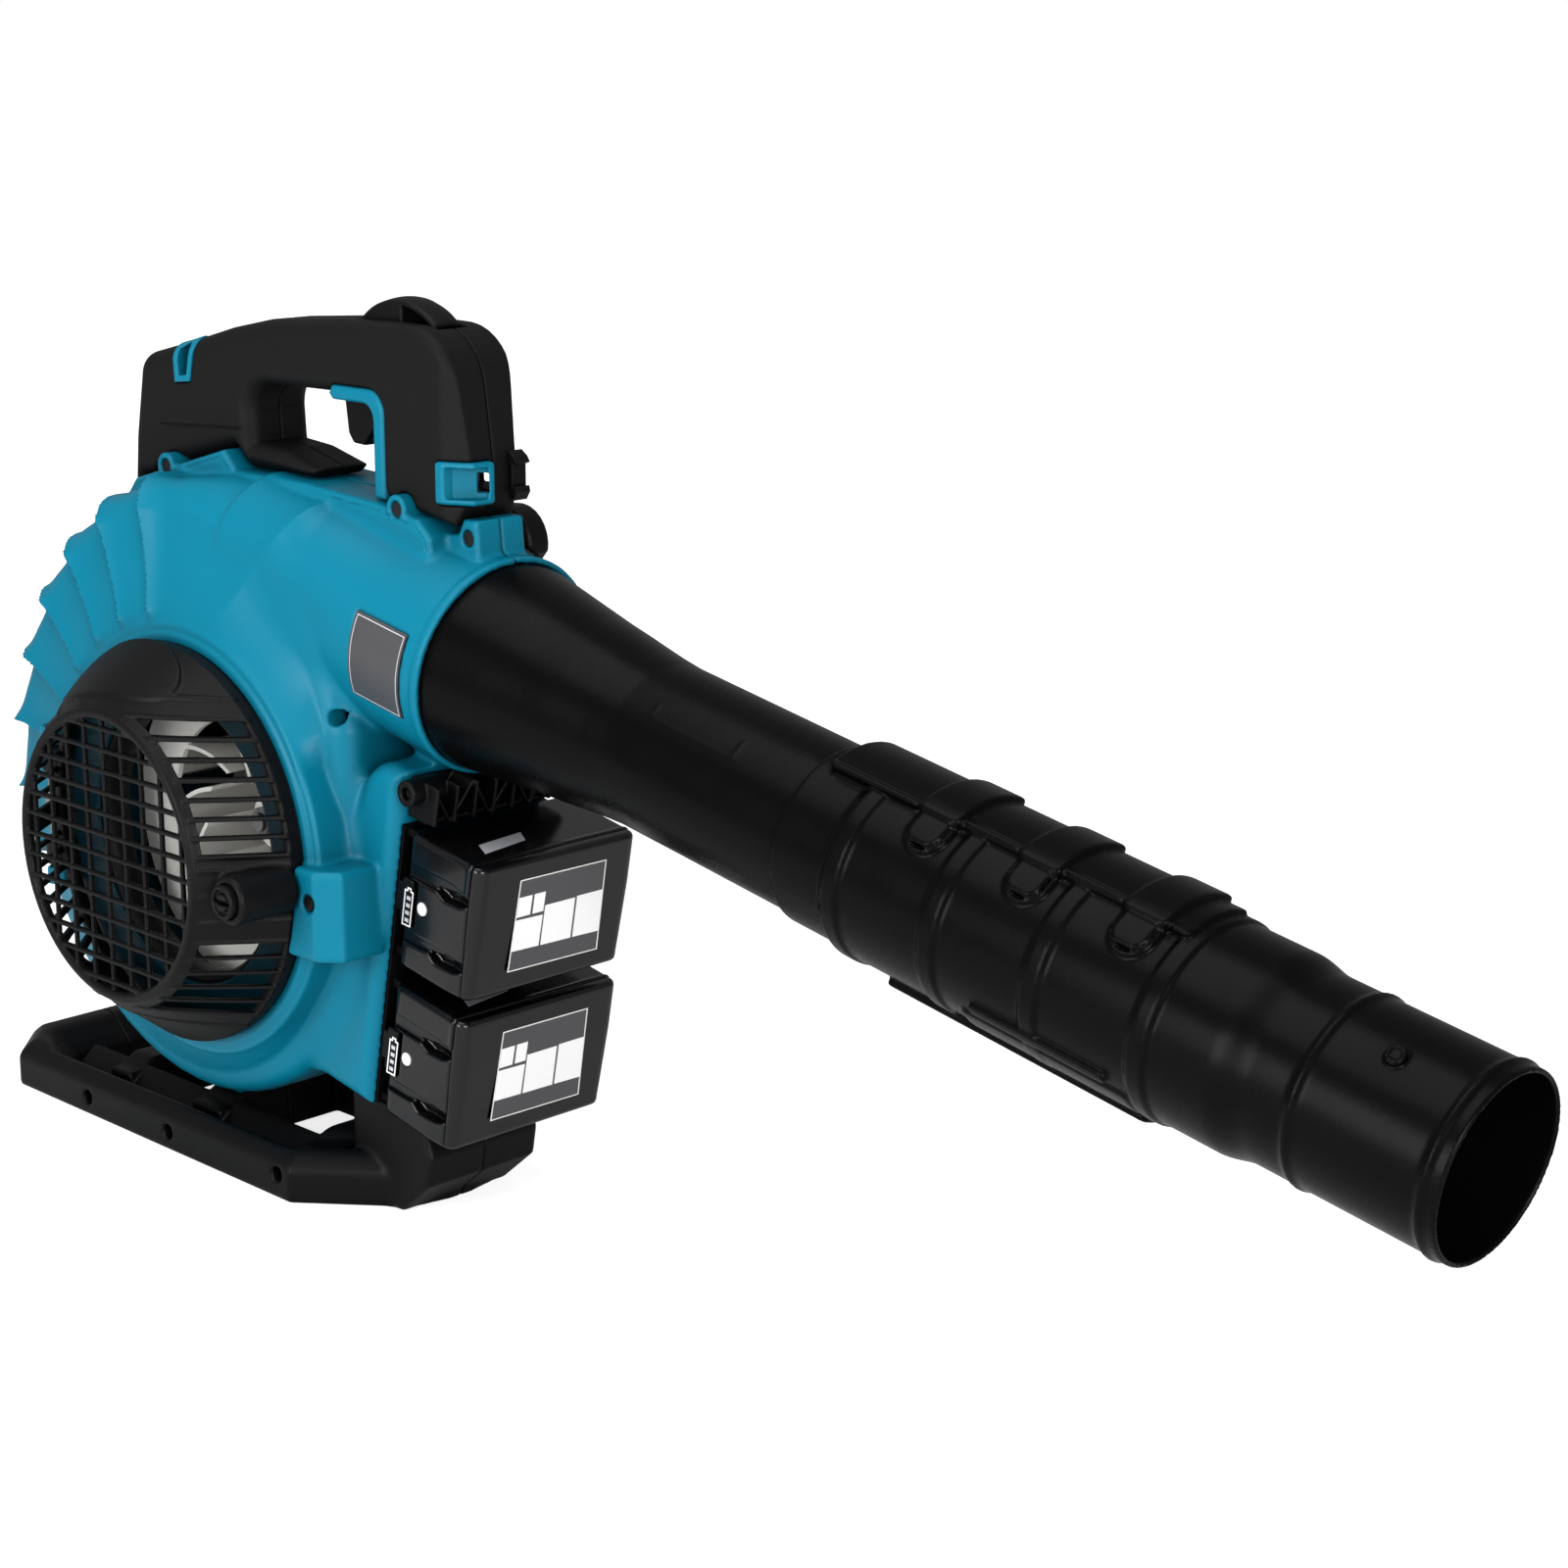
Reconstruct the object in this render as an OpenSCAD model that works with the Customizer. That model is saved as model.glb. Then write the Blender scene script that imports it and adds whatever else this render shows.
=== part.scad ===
// Cordless hand-held leaf blower with two slide-in battery packs.
// Frame: origin on the ground under the fan axis, in the mid-plane of the housing.
// +X points the way the air leaves, +Y is the machine's left, +Z is up. Millimetres.

/* [Stance] */
// Height of the fan axis above the ground
fan_z = 188.3; // [186:0.1:190]
// Nose-down pitch of the outlet tube and the battery packs, degrees
droop = 10.8; // [10:0.2:12]

/* [Fan housing] */
// Scroll radius beside the tongue
scroll_front_r = 120; // [118:0.5:122]
// Scroll radius at the rear
scroll_rear_r = 190; // [186:0.5:192]
// Scroll radius at the top, where it runs into the outlet
scroll_top_r = 194; // [190:0.5:196]
// Half width of the scroll at its rim
scroll_half_w = 57; // [55:0.5:58]
// Wall thickness of the housing
wall = 3; // [2.5:0.1:3.5]
// Number of cooling louvres around the rear of the scroll
louvre_count = 7; // [5:1:8]

/* [Outlet tube] */
// Height of the tube axis above the fan axis
duct_z = 143.3; // [142:0.1:145]
// Forward end of the housing collar
collar_end = 158.2; // [157:0.1:160]
// Outer radius of the collar
collar_r = 57.6; // [57:0.1:59]
// Outer radius of the straight part of the rear tube
rear_tube_r = 42.2; // [41.8:0.1:42.3]
// Forward end of the rear tube
rear_tube_end = 486; // [483:0.5:492]
// Rear end of the sliding front tube
front_tube_start = 396; // [394:0.5:398]
// Forward tip of the front tube
front_tube_end = 758.6; // [756:0.1:762]
// Distance between the length stops
stop_pitch = 58; // [56:0.5:59]

/* [Intake cover] */
// Radius of the cover where it meets the housing
cover_r = 109.4; // [108:0.1:110]
// Radius of the cover's front ring
cover_front_r = 76.5; // [75.5:0.1:77.5]
// Distance of the cover's seat from the mid-plane
cover_seat = 76.9; // [76:0.1:78]
// Distance of the cover's front face from the mid-plane
cover_face = 125.7; // [124:0.1:127]

/* [Battery packs] */
// Depth of a pack from its rails to its label face
pack_d = 63; // [62:0.5:64]
// Length of a pack along its rails
pack_l = 108; // [107:0.5:110]
// Width of a pack
pack_w = 75; // [74:0.5:76]
// Distance of the label faces ahead of the fan axis
pack_face = 207.2; // [206:0.1:208]
// Height of the upper pack's centre above the fan axis
pack_z = 20.4; // [19:0.1:21]
// Distance between the centres of the two packs
pack_pitch = 86.2; // [86:0.1:88]
// Sideways offset of the packs
pack_y = 8; // [7:0.5:9]

/* [Handle] */
// Half width of the handle
handle_half_w = 22; // [21:0.5:23]
// Half width of the saddle under the handle
saddle_half_w = 28; // [27:0.5:29]

/* [Base] */
// Height of the base loop
base_h = 28; // [26:0.5:30]

/* [Hidden] */
$fn = 64;
TEAL = [0.02, 0.5, 0.6];
BLACK = [0.08, 0.08, 0.09];
STEEL = [0.72, 0.73, 0.75];
COPPER = [0.75, 0.45, 0.25];
PALE = [0.85, 0.86, 0.87];
eps = 0.01;
gap = 0.3;
far = 600;

// ---------- frames and helpers ----------

// Frame of the pitched parts: origin at the fan centre, x along the outlet.
module pitched() translate([0, 0, fan_z]) rotate([0, droop, 0]) children();

// An outline in the x-z plane, drawn from y0 to y1.
module along_y(y0, y1) translate([0, y1, 0]) rotate([90, 0, 0]) linear_extrude(y1 - y0) children();

// A round bar of radius r about the y axis through (x, z), from y0 to y1.
module y_bar(r, y0, y1, x = 0, z = 0) translate([x, y1, z]) rotate([90, 0, 0]) cylinder(r = r,
    h = y1 - y0);

// Frame of the outlet tube: its axis is z, measured forward from the fan axis.
module duct() pitched() translate([0, 0, duct_z]) rotate([0, 90, 0]) children();

// A patch of tube wall: radii r0 to r1, stations s0 to s1, and angles a0 to a1
// measured upward from the machine's right side.
module wall_patch(r0, r1, s0, s1, a0, a1)
    rotate([0, 0, 270 - a1]) rotate_extrude(angle = a1 - a0) translate([r0, s0]) square([r1 - r0, s1 - s0]);

// The right (sign -1) or left (sign 1) half of whatever is drawn.
module half(sign) intersection() {
    children();
    translate([-far, sign < 0 ? -far : 0, -far]) cube([3 * far, far, 3 * far]);
}

// Centre of pack i: 0 is the upper pack, 1 the lower.
module at_pack(i) pitched() translate([pack_face - pack_d / 2, pack_y, pack_z - i * pack_pitch])
    children();

// Points of an arc of radius r about (x, z) from angle a0 to a1.
function arc(x, z, r, a0, a1, n = 6) = [for (i = [0 : n]) let (a = a0 + (a1 - a0) * i / n)
    [x + r * cos(a), z + r * sin(a)]];

// ---------- fan housing ----------

// Radius of the scroll at turn angle t, measured from the front, down and around.
function scroll_r(t) = t < 180
    ? scroll_front_r + (scroll_rear_r - scroll_front_r) * t / 180
    : scroll_rear_r + (scroll_top_r - scroll_rear_r) * (t - 180) / 90;
function scroll_points(inset) = concat(
    [for (t = [0 : 9 : 270]) (scroll_r(t) - inset) * [cos(t), -sin(t)]],
    [[40, 198 - inset], [104 - inset, 96]]);

inlet_r = 80;
rim_r = 118;
seat_step = 3.4;

// The solid form of the scroll. shrink thins it on every side to give the cavity.
module scroll_form(shrink) pitched() hull() {
    along_y(-44 + shrink, 44 - shrink) polygon(scroll_points(shrink));
    along_y(-52 + shrink, 52 - shrink) polygon(scroll_points(shrink + 4));
    along_y(-scroll_half_w + shrink, scroll_half_w - shrink) polygon(scroll_points(shrink + 13));
    y_bar(rim_r - shrink, -cover_seat + seat_step + shrink, cover_seat - seat_step - shrink);
}

// The blend from the scroll to the round collar.
module neck_form(shrink) pitched() hull() {
    along_y(-50 + shrink, 50 - shrink) polygon([[0, 96 + shrink], [0, scroll_top_r - 1 - shrink],
        [60, duct_z + collar_r - shrink - 1], [72, duct_z - collar_r + shrink + 4]]);
    translate([0, 0, duct_z]) rotate([0, 90, 0]) translate([0, 0, 104]) cylinder(r = collar_r - shrink,
        h = 8);
}

// Outline of the battery column that stands in front of the scroll.
column_front = 143.8;
column_outline = concat([[96, -104], [column_front, -104], [column_front, 88]], arc(134, 66, 22, 90,
    170), [[104, 20]]);
module column_form() pitched() along_y(-50, 54) polygon(column_outline);
module column_cavity() pitched() translate([123, -46, -98]) cube([13.4, 96, 156]);

// The saddle that carries the handle, in the upright frame.
saddle_outline = [[-116, 330], [-116, 353], [-101, 370], [-17, 394], [-6, 383.4], [51, 383.4], [115,
    379.5],
    [148, 374.5], [158, 366], [160, 340], [120, 340]];
front_block_half_w = 16;
module saddle_form() {
    along_y(-saddle_half_w, saddle_half_w) polygon(saddle_outline);
    along_y(-front_block_half_w, front_block_half_w) polygon([[140, 340], [150, 366], [166, 368],
        [170.5, 376], [181, 376], [184, 340]]);
}
module saddle_cavity() along_y(-saddle_half_w + wall, saddle_half_w - wall)
    polygon([[-108, 340], [-98, 366], [-19, 389], [-9, 379], [50, 379], [114, 375], [146, 370], [146,
        340]]);

// A cooling louvre: a tilted fin across the rear of the scroll.
louvre_start = 161;
louvre_pitch = 12;
module louvre(i) pitched() let (t = louvre_start + i * louvre_pitch, r = scroll_r(t))
    rotate([0, t, 0]) along_y(-scroll_half_w - 1, scroll_half_w + 1)
    polygon([[rim_r + 30, 8], [r - 8, 16], [r + 1, 0.5], [r - 7, -0.5], [rim_r + 30, -0.5]]);

// The block beside the intake that takes the latch of the cover.
lug_z = 147;
lug_face = 84;
lug_screw_x = 121;
lug_screw_z = 178.5;
module latch_lug() translate([0, 0, lug_z]) linear_extrude(49)
    polygon([[88, -48], [88, -lug_face], [126, -lug_face], [138, -74], [138, -48]]);

housing_screw_sites = [[-70, 379.5], [132, 378], [174, 366.5], [111, 270]];
boss_r = 7;
housing_screw_half_w = [saddle_half_w, saddle_half_w, front_block_half_w, 46];
base_screw_sites = [[-114, 11], [-33, 11], [70, 14]];
module screw_bores(i) let (p = housing_screw_sites[i], w = housing_screw_half_w[i]) {
    y_bar(2.05, -w - 1, w - 6, p[0], p[1]);
    y_bar(4.4, -w - 30, -w + 4, p[0], p[1]);
}
module screw_boss(i) let (p = housing_screw_sites[i], w = housing_screw_half_w[i])
    y_bar(boss_r, -w, w, p[0], p[1]);

foot_outline = [[-42.6, base_h], [-42.6, 62], [-16.4, 62], [-16.4, base_h]];
module foot_form() along_y(-34, 34) polygon(foot_outline);

lead_sites = [for (k = [-1 : 1]) -10 + 6 * k];

module housing_shell() difference() {
    union() {
        scroll_form(0);
        neck_form(0);
        column_form();
        saddle_form();
        foot_form();
        latch_lug();
        for (i = [0 : len(housing_screw_sites) - 1]) screw_boss(i);
        for (i = [0 : louvre_count - 1]) louvre(i);
        duct() translate([0, 0, 100]) cylinder(r = collar_r - 1, h = collar_end - 100);
        duct() translate([0, 0, collar_end - 5]) cylinder(r = collar_r + 0.6, h = 5);
    }
    difference() {
        union() {
            scroll_form(wall);
            neck_form(wall + 2);
        }
        for (i = [0 : 1]) screw_boss(i);
        screw_boss(3);
    }
    column_cavity();
    difference() {
        saddle_cavity();
        for (i = [0 : 1]) screw_boss(i);
        scroll_form(-eps);
    }
    // duct and the seat of the rear tube
    duct() translate([0, 0, 90]) cylinder(r = 51, h = 60);
    duct() translate([0, 0, 118]) cylinder(r = 55.4, h = 60);
    // intake mouth and the seat of the cover
    translate([0, 0, fan_z]) y_bar(inlet_r, -90, -60);
    for (i = [0 : len(housing_screw_sites) - 1]) screw_bores(i);
    // bore for the latch screw
    y_bar(3.05, -101, -66, latch_x, latch_z);
    // passages for the motor leads
    pitched() for (z = lead_sites) translate([110, 44, z]) rotate([0, 90, 0]) cylinder(r = 2, h = 20);
    // opening over the pack holder
    pitched() translate([139.4, -44, -103.4]) cube([10, 96, 161.8]);
    for (i = [0 : 1]) holder_bores(i, 2.05, 130, 145);
    // recess of the rating plate, and room for the rim of the intake cover
    duct() wall_patch(collar_r - 0.9, collar_r + 4, 102.7, 144.3, -26.3, 21.3);
    translate([0, 0, fan_z]) y_bar(cover_r + 0.6, -130, -cover_seat);
    // screw of the lug
    y_bar(2.05, -90, -58, lug_screw_x, lug_screw_z);
    y_bar(4.4, -90, -lug_face + 4, lug_screw_x, lug_screw_z);
}

// Pegs inside the collar that lock the rear tube.
module collar_peg(sign) duct() rotate([0, 0, sign < 0 ? 270 : 90]) translate([52.2, 0, 135]) rotate([0,
    90, 0])
    cylinder(r = 3, h = 4);

// Knuckles on the housing that hold the pin of the intake cover.
module housing_knuckles() translate([hinge_x, 0, fan_z]) difference() {
    for (z = [-46, 36]) {
        translate([0, hinge_y, z]) cylinder(r = 5, h = 10);
        translate([-5, hinge_y, z]) cube([12, 14, 10]);
    }
    translate([0, hinge_y, -60]) cylinder(r = 2.1, h = 120);
}
module housing_right() color(TEAL) union() {
    half(-1) housing_shell();
    housing_knuckles();
    collar_peg(-1);
    // seat ring of the intake cover
    translate([0, 0, fan_z]) difference() {
        y_bar(rim_r - 4, -cover_seat, -cover_seat + 6);
        y_bar(inlet_r, -90, -60);
    }
}
module housing_left() color(TEAL) union() {
    difference() {
        union() {
            half(1) housing_shell();
            translate([0, 0, fan_z]) y_bar(56, 66, 84);
        }
        translate([0, 0, fan_z]) y_bar(52, 60, 81);
    }
    // posts that carry the motor plate
    translate([0, 0, fan_z]) for (p = plate_screw_sites) difference() {
        y_bar(5, 35.5, 70.6, p[0], p[1]);
        y_bar(2.05, 30, 54, p[0], p[1]);
    }
    collar_peg(1);
    // seat of the rear bearing in the motor cover
    translate([0, 0, fan_z]) difference() {
        y_bar(15, 70.5, 83);
        y_bar(11.05, 60, 81);
    }
}

// Bell mouth that leads the air into the fan.
module inlet_ring() color(BLACK) translate([0, 0, fan_z]) rotate([90, 0, 0]) rotate_extrude()
    polygon([[inlet_r - 0.1, 58], [inlet_r - 0.1, 73.4], [inlet_r - 2, 73.4], [inlet_r - 5, 69],
        [inlet_r - 5, 58]]);

module rating_plate() color(BLACK) duct() wall_patch(collar_r - 0.8, collar_r + 0.5, 103, 144, -26, 21);

// ---------- fan and motor ----------

blade_count = 9;
blade_arc_r = 62;
fan_r = 92;
module fan_blade() difference() {
    translate([0, 46, 0]) intersection() {
        difference() {
            cylinder(r = blade_arc_r, h = 66);
            translate([0, 0, -1]) cylinder(r = blade_arc_r - 2.4, h = 68);
        }
        translate([20, -46 - 12, -1]) cube([70, 90, 68]);
    }
}
module fan() color(PALE) translate([0, 28, fan_z]) rotate([90, 0, 0]) difference() {
    union() {
        cylinder(r = fan_r, h = 3);
        cylinder(r = 16, h = 44);
        intersection() {
            for (i = [0 : blade_count - 1]) rotate([0, 0, i * 360 / blade_count]) fan_blade();
            difference() {
                cylinder(r = fan_r - 1, h = 66);
                translate([0, 0, -1]) cylinder(r = 30, h = 70);
            }
        }
        translate([0, 0, 63]) difference() {
            cylinder(r = fan_r, h = 3);
            translate([0, 0, -1]) cylinder(r = 60, h = 5);
        }
    }
    translate([0, 0, -1]) cylinder(r = 5, h = 50);
}
module fan_nut() color(STEEL) translate([0, 0, fan_z]) difference() {
    translate([0, -16, 0]) rotate([90, 0, 0]) cylinder(r = 8.5, h = 8, $fn = 6);
    y_bar(5, -30, 0);
}
module motor_shaft() color(STEEL) translate([0, 0, fan_z]) y_bar(5, -26, 80);
module rotor() color([0.45, 0.46, 0.48]) translate([0, 0, fan_z]) difference() {
    y_bar(18, 42, 64);
    y_bar(5, 40, 70);
}
tooth_count = 6;
module stator() color([0.5, 0.5, 0.52]) translate([0, 0, fan_z]) {
    difference() {
        y_bar(40, 43, 63);
        y_bar(34, 42, 64);
    }
    difference() {
        for (i = [0 : tooth_count - 1]) rotate([0, i * 360 / tooth_count, 0]) translate([18.6, 43, -4])
            cube([16, 20, 8]);
        y_bar(19, 42, 64);
    }
}
module windings() color(COPPER) translate([0, 0, fan_z])
    for (i = [0 : tooth_count - 1]) rotate([0, i * 360 / tooth_count, 0]) difference() {
        translate([22, 40, -7]) cube([9.5, 26, 14]);
        translate([21, 42.9, -4.1]) cube([12, 20.2, 8.2]);
    }
plate_screw_sites = [for (i = [0 : 3]) 92 * [cos(45 + 90 * i), sin(45 + 90 * i)]];
module motor_plate() color(BLACK) translate([0, 0, fan_z]) difference() {
    union() {
        y_bar(104, 32.5, 35.5);
        y_bar(44, 35, 63);
        y_bar(15, 30.4, 38);
    }
    y_bar(40.05, 36, 64);
    y_bar(11.05, 31.4, 40);
    y_bar(6, 20, 40);
    for (p = plate_screw_sites) y_bar(2.05, 30, 40, p[0], p[1]);
}
module motor_plate_screws() color(STEEL) translate([0, 0, fan_z]) for (p = plate_screw_sites) {
    y_bar(2, 32, 52, p[0], p[1]);
    y_bar(4, 29.6, 32.5, p[0], p[1]);
}
module bearing(y) difference() {
    y_bar(11, y, y + 7);
    y_bar(5.04, y - 1, y + 8);
}
module bearings() color(STEEL) translate([0, 0, fan_z]) {
    bearing(31.6);
    bearing(72);
}
module motor_leads() color([0.6, 0.1, 0.08]) pitched() for (z = lead_sites)
    translate([44.3, 44, z]) rotate([0, 90, 0]) cylinder(r = 1.6, h = 82.2);
module control_board() color([0.1, 0.35, 0.2]) pitched() {
    translate([126.8, -36, -70]) cube([1.6, 84, 96]);
    translate([128.4, -20, -56]) cube([6, 50, 44]);
    for (k = [0 : 2]) translate([128.4, -18 + 20 * k, 8]) rotate([0, 90, 0]) cylinder(r = 6, h = 7);
}

// ---------- intake cover ----------

latch_x = 104;
latch_z = 184;
hinge_x = -116;
hinge_y = -82;
bar_pitch = 11.6;
mesh_bar = 2.6;
slat_pitch = 9.4;
cone_w = 3;
module cover_cone() rotate([90, 0, 0]) rotate_extrude() polygon([[cover_r - 4, cover_seat + 0.3],
    [cover_r, cover_seat + 0.3], [cover_r, cover_seat + 8], [cover_front_r + 4, cover_face - 2],
    [cover_front_r + 2.5, cover_face], [cover_front_r - 3, cover_face], [cover_front_r - 3, cover_face - 3],
    [cover_front_r + 1.9, cover_face - 5.1], [cover_r - 4, cover_seat + 8]]);
module cover_slot(k, x0, x1) translate([x0, -cover_face + 5.5, k * slat_pitch - 3.4])
    cube([x1 - x0, cover_face - cover_seat - 11.5, 6.8]);
module cover_slots() {
    for (k = [-8 : 8]) if (k != 0) cover_slot(k, -far, -60);
    for (k = [-8 : -5]) cover_slot(k, -2, far);
    for (k = [3 : 8]) cover_slot(k, -2, far);
}
module cover_mesh() intersection() {
    y_bar(cover_front_r - 1, -cover_face, -cover_face + 4);
    union() {
        for (k = [-7 : 7]) translate([-100, -cover_face + 0.5, k * bar_pitch - mesh_bar / 2])
            cube([200, 3.5, mesh_bar]);
        for (k = [-4 : 4]) translate([k * 17 - 1, -cover_face + 1, -100]) cube([2, 3, 200]);
    }
}
module intake_cover() color(BLACK) translate([0, 0, fan_z]) difference() {
    union() {
        difference() {
            cover_cone();
            cover_slots();
        }
        cover_mesh();
        // hinge knuckles
        for (z = [-34, 20]) translate([hinge_x, hinge_y, z]) cylinder(r = 5, h = 14);
        for (z = [-34, 20]) translate([hinge_x, hinge_y - 5, z]) cube([12, 7, 14]);
        // housing of the latch
        y_bar(13, -cover_face + 4, -lug_face - 0.5, latch_x, latch_z - fan_z);
        translate([80, -cover_face + 12, -16]) cube([18, 28, 22]);
    }
    translate([hinge_x, hinge_y, -60]) cylinder(r = 2.1, h = 120);
    // room for the housing's knuckles
    for (z = [-47, 35]) translate([hinge_x - 12, hinge_y - 6, z]) cube([21, 24, 12]);
    y_bar(9.05, -140, -106, latch_x, latch_z - fan_z);
    y_bar(4.1, -140, -84, latch_x, latch_z - fan_z);
}
module cover_hinge_pin() color(STEEL) translate([hinge_x, hinge_y, fan_z - 46]) cylinder(r = 2.05,
    h = 92);
module cover_hinge_spring() color(STEEL) translate([hinge_x, hinge_y, fan_z - 8]) difference() {
    cylinder(r = 4, h = 16);
    translate([0, 0, -1]) cylinder(r = 2.5, h = 18);
}
module cover_latch() color(BLACK) difference() {
    union() {
        y_bar(9, -cover_face + 0.5, -107, latch_x, latch_z);
        y_bar(3, -108, -lug_face - 0.4, latch_x, latch_z);
    }
    translate([latch_x - 6, -cover_face, latch_z - 1]) cube([12, 3, 2]);
}

// ---------- handle ----------

// Outline of the handle, with the hand hole, in the upright frame.
handle_outline = concat([[-115, 355], [-111, 393]], arc(-90, 427, 14, 175, 100), [[-58, 449], [-20, 459],
    [13, 465.5], [73, 470], [120, 471.5]], arc(138, 437.5, 33.5, 85, 5), [[176, 408], [176.4, 392],
    [172, 380], [168, 372.5], [115, 380.5], [108, 384]],
    arc(100, 424, 8, 0, 90), arc(14, 416, 15, 90, 180),
    [[0, 399], [24, 397], [55, 389.5], [50, 384.4], [-5, 384.4],
    [-16, 395], [-100, 371.2]]);
lever_x = 113;
lever_z = 437;
lever_r = 46;
lever_half_w = 9;
trigger_x = 97;
trigger_z = 441;
module handle_cavity() difference() {
    along_y(-18, 18) union() {
        polygon([[-104, 380], [-98, 424], [-84, 433], [-30, 449], [20, 459], [72, 464], [140, 465],
            [158, 456], [160, 388], [119.5, 391], [119.5, 428], [108, 439.5], [8, 437], [-6, 424],
            [-8, 402], [-20, 400]]);
    }
    for (p = handle_screw_sites) y_bar(5.5, -20, 20, p[0], p[1]);
}
handle_screw_sites = [[-84, 394], [-34, 420], [146, 452], [140, 396]];
// Each layer of the rounded section: [half width, inset of the outline].
handle_layers = [[10, 0], [16, 2], [20, 5], [handle_half_w, 9]];
module handle_shell() difference() {
    for (layer = handle_layers) along_y(-layer[0], layer[0]) offset(delta = -layer[1])
        polygon(handle_outline);
    handle_cavity();
    // slot for the trigger
    along_y(-7.5, 7.5) polygon([[50, 420], [103.5, 420], [103.5, 446], [50, 446]]);
    // opening for the speed lever
    difference() {
        intersection() {
            y_bar(lever_r + 1, -lever_half_w - 0.6, lever_half_w + 0.6, lever_x, lever_z);
            translate([lever_x - 60, -30, lever_z + 8]) cube([120, 60, 80]);
        }
        y_bar(5.5, -30, 30, handle_screw_sites[2][0], handle_screw_sites[2][1]);
    }
    y_bar(7.5, -lever_half_w - 0.6, lever_half_w + 0.6, lever_x, lever_z);
    y_bar(2.55, -20, 20, lever_x, lever_z);
    for (p = handle_screw_sites) {
        y_bar(2.05, -handle_half_w + 4, handle_half_w + 1, p[0], p[1]);
        y_bar(4.4, handle_half_w - 3, handle_half_w + 1, p[0], p[1]);
    }
    y_bar(2.55, -20, 20, trigger_x, trigger_z);
    // notches over the screw bosses of the housing
    for (i = [0 : 1]) y_bar(boss_r + 0.4, -30, 30, housing_screw_sites[i][0], housing_screw_sites[i][1]);
    // recesses for the trims
    along_y(-handle_half_w - 1, handle_half_w + 1) polygon(eye_outline);
    along_y(-handle_half_w - 1, handle_half_w + 1) offset(delta = 0.15) polygon(lip_outline);
    anchor_form(0.2);
    anchor_window();
}
eye_outline = [[-66.3, 425.7], [-51.7, 427.2], [-47, 447], [-48, 462], [-68.5, 462], [-68, 444]];
// The band along the front of the hand hole.
lip_outline = concat([[74, 428.7]], arc(99, 420.2, 8.5, 90, 0), [[107.5, 380], [116.7, 380]],
    arc(104, 423.8, 12.7, 0, 90), [[74, 436.5], [71, 432]]);
// The strap anchor wraps round the right front corner of the handle.
anchor_z0 = 383;
anchor_z1 = 405;
anchor_plan = [[158, -23], [163, -23], [179.2, -15], [179.2, -1.5], [158, -1.5]];
module anchor_form(grow) translate([0, 0, anchor_z0 - grow])
    linear_extrude(anchor_z1 - anchor_z0 + 2 * grow)
    offset(delta = grow) polygon(anchor_plan);
module anchor_window() translate([176, -6.5, anchor_z0 + 6]) rotate([0, 0, 135])
    translate([-8, -3, 0]) cube([80, 6, 10]);
module handle_right() color(BLACK) half(-1) handle_shell();
module handle_left() color(BLACK) half(1) handle_shell();
module strap_eye() color(TEAL) difference() {
    along_y(-handle_half_w - 0.5, handle_half_w + 0.5) polygon([[-66, 426], [-52, 427.5], [-47.5, 447],
        [-49, 451],
        [-67.5, 446]]);
    for (s = [-1, 1]) along_y(s < 0 ? -30 : 10, s < 0 ? -10 : 30)
        polygon([[-62.8, 430], [-55, 431], [-51.5, 445], [-53, 447.5], [-63.5, 444]]);
}
module guard_lip() color(TEAL) difference() {
    guard_strip();
    // slot for the trigger, room for the hub of the speed lever and for the housing
    along_y(-7.5, 7.5) polygon([[60, 420], [103.5, 420], [103.5, 440], [60, 440]]);
    y_bar(7.5, -lever_half_w - 0.6, lever_half_w + 0.6, lever_x, lever_z);
    along_y(-60, 60) offset(delta = 0.2) polygon(saddle_outline);
}
module guard_strip() along_y(-handle_half_w - 0.6, handle_half_w + 0.6) polygon(lip_outline);
module strap_anchor() color(TEAL) difference() {
    anchor_form(0);
    translate([0, 0, anchor_z0 + 3]) linear_extrude(anchor_z1 - anchor_z0 - 6)
        polygon([[162, -30], [190, -30], [190, -5], [176, -5], [165, -17]]);
    anchor_window();
}
module strap_hook() color(BLACK) along_y(9.6, 19) polygon([[176.6, 409], [181, 406], [183, 403],
    [181, 402], [179.6, 403], [179.6, 390], [182, 391], [183, 388], [180, 383.5], [177, 385]]);
module side_hanger() color(BLACK) difference() {
    along_y(saddle_half_w + 0.3, saddle_half_w + 16)
        polygon(concat([[118, 356], [124, 374]], arc(150, 356, 20, 100, -10), [[162, 344], [130, 348]]));
    duct() cylinder(r = collar_r + 1, h = 400);
    scroll_form(-0.3);
    neck_form(-0.3);
}
module trigger() color(BLACK) difference() {
    union() {
        along_y(-7, 7) polygon([[62, 440], [65, 424], [67, 409], [71, 404], [80, 403.5], [88, 412],
            [95, 429], [101, 436],
            [101.5, 443], [94, 446], [70, 443]]);
        y_bar(6, -7, 7, trigger_x, trigger_z);
    }
    y_bar(2.55, -10, 10, trigger_x, trigger_z);
}
module trigger_pin() color(STEEL) y_bar(2.5, -20, 20, trigger_x, trigger_z);
module trigger_spring() color(STEEL) translate([70, 0, 443.5]) difference() {
    cylinder(r = 3.5, h = 20);
    translate([0, 0, -1]) cylinder(r = 2.3, h = 22);
}
module trigger_switch() color([0.2, 0.2, 0.22]) along_y(-9, 9) polygon([[20, 443], [46, 443], [46,
    456], [20, 456]]);
module switch_lead() color([0.15, 0.15, 0.16]) {
    translate([19.4, 0, 448]) rotate([0, -101, 0]) cylinder(r = 2.4, h = 64);
    translate([-43.3, 0, 398]) cylinder(r = 2.2, h = 38.5);
}
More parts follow.
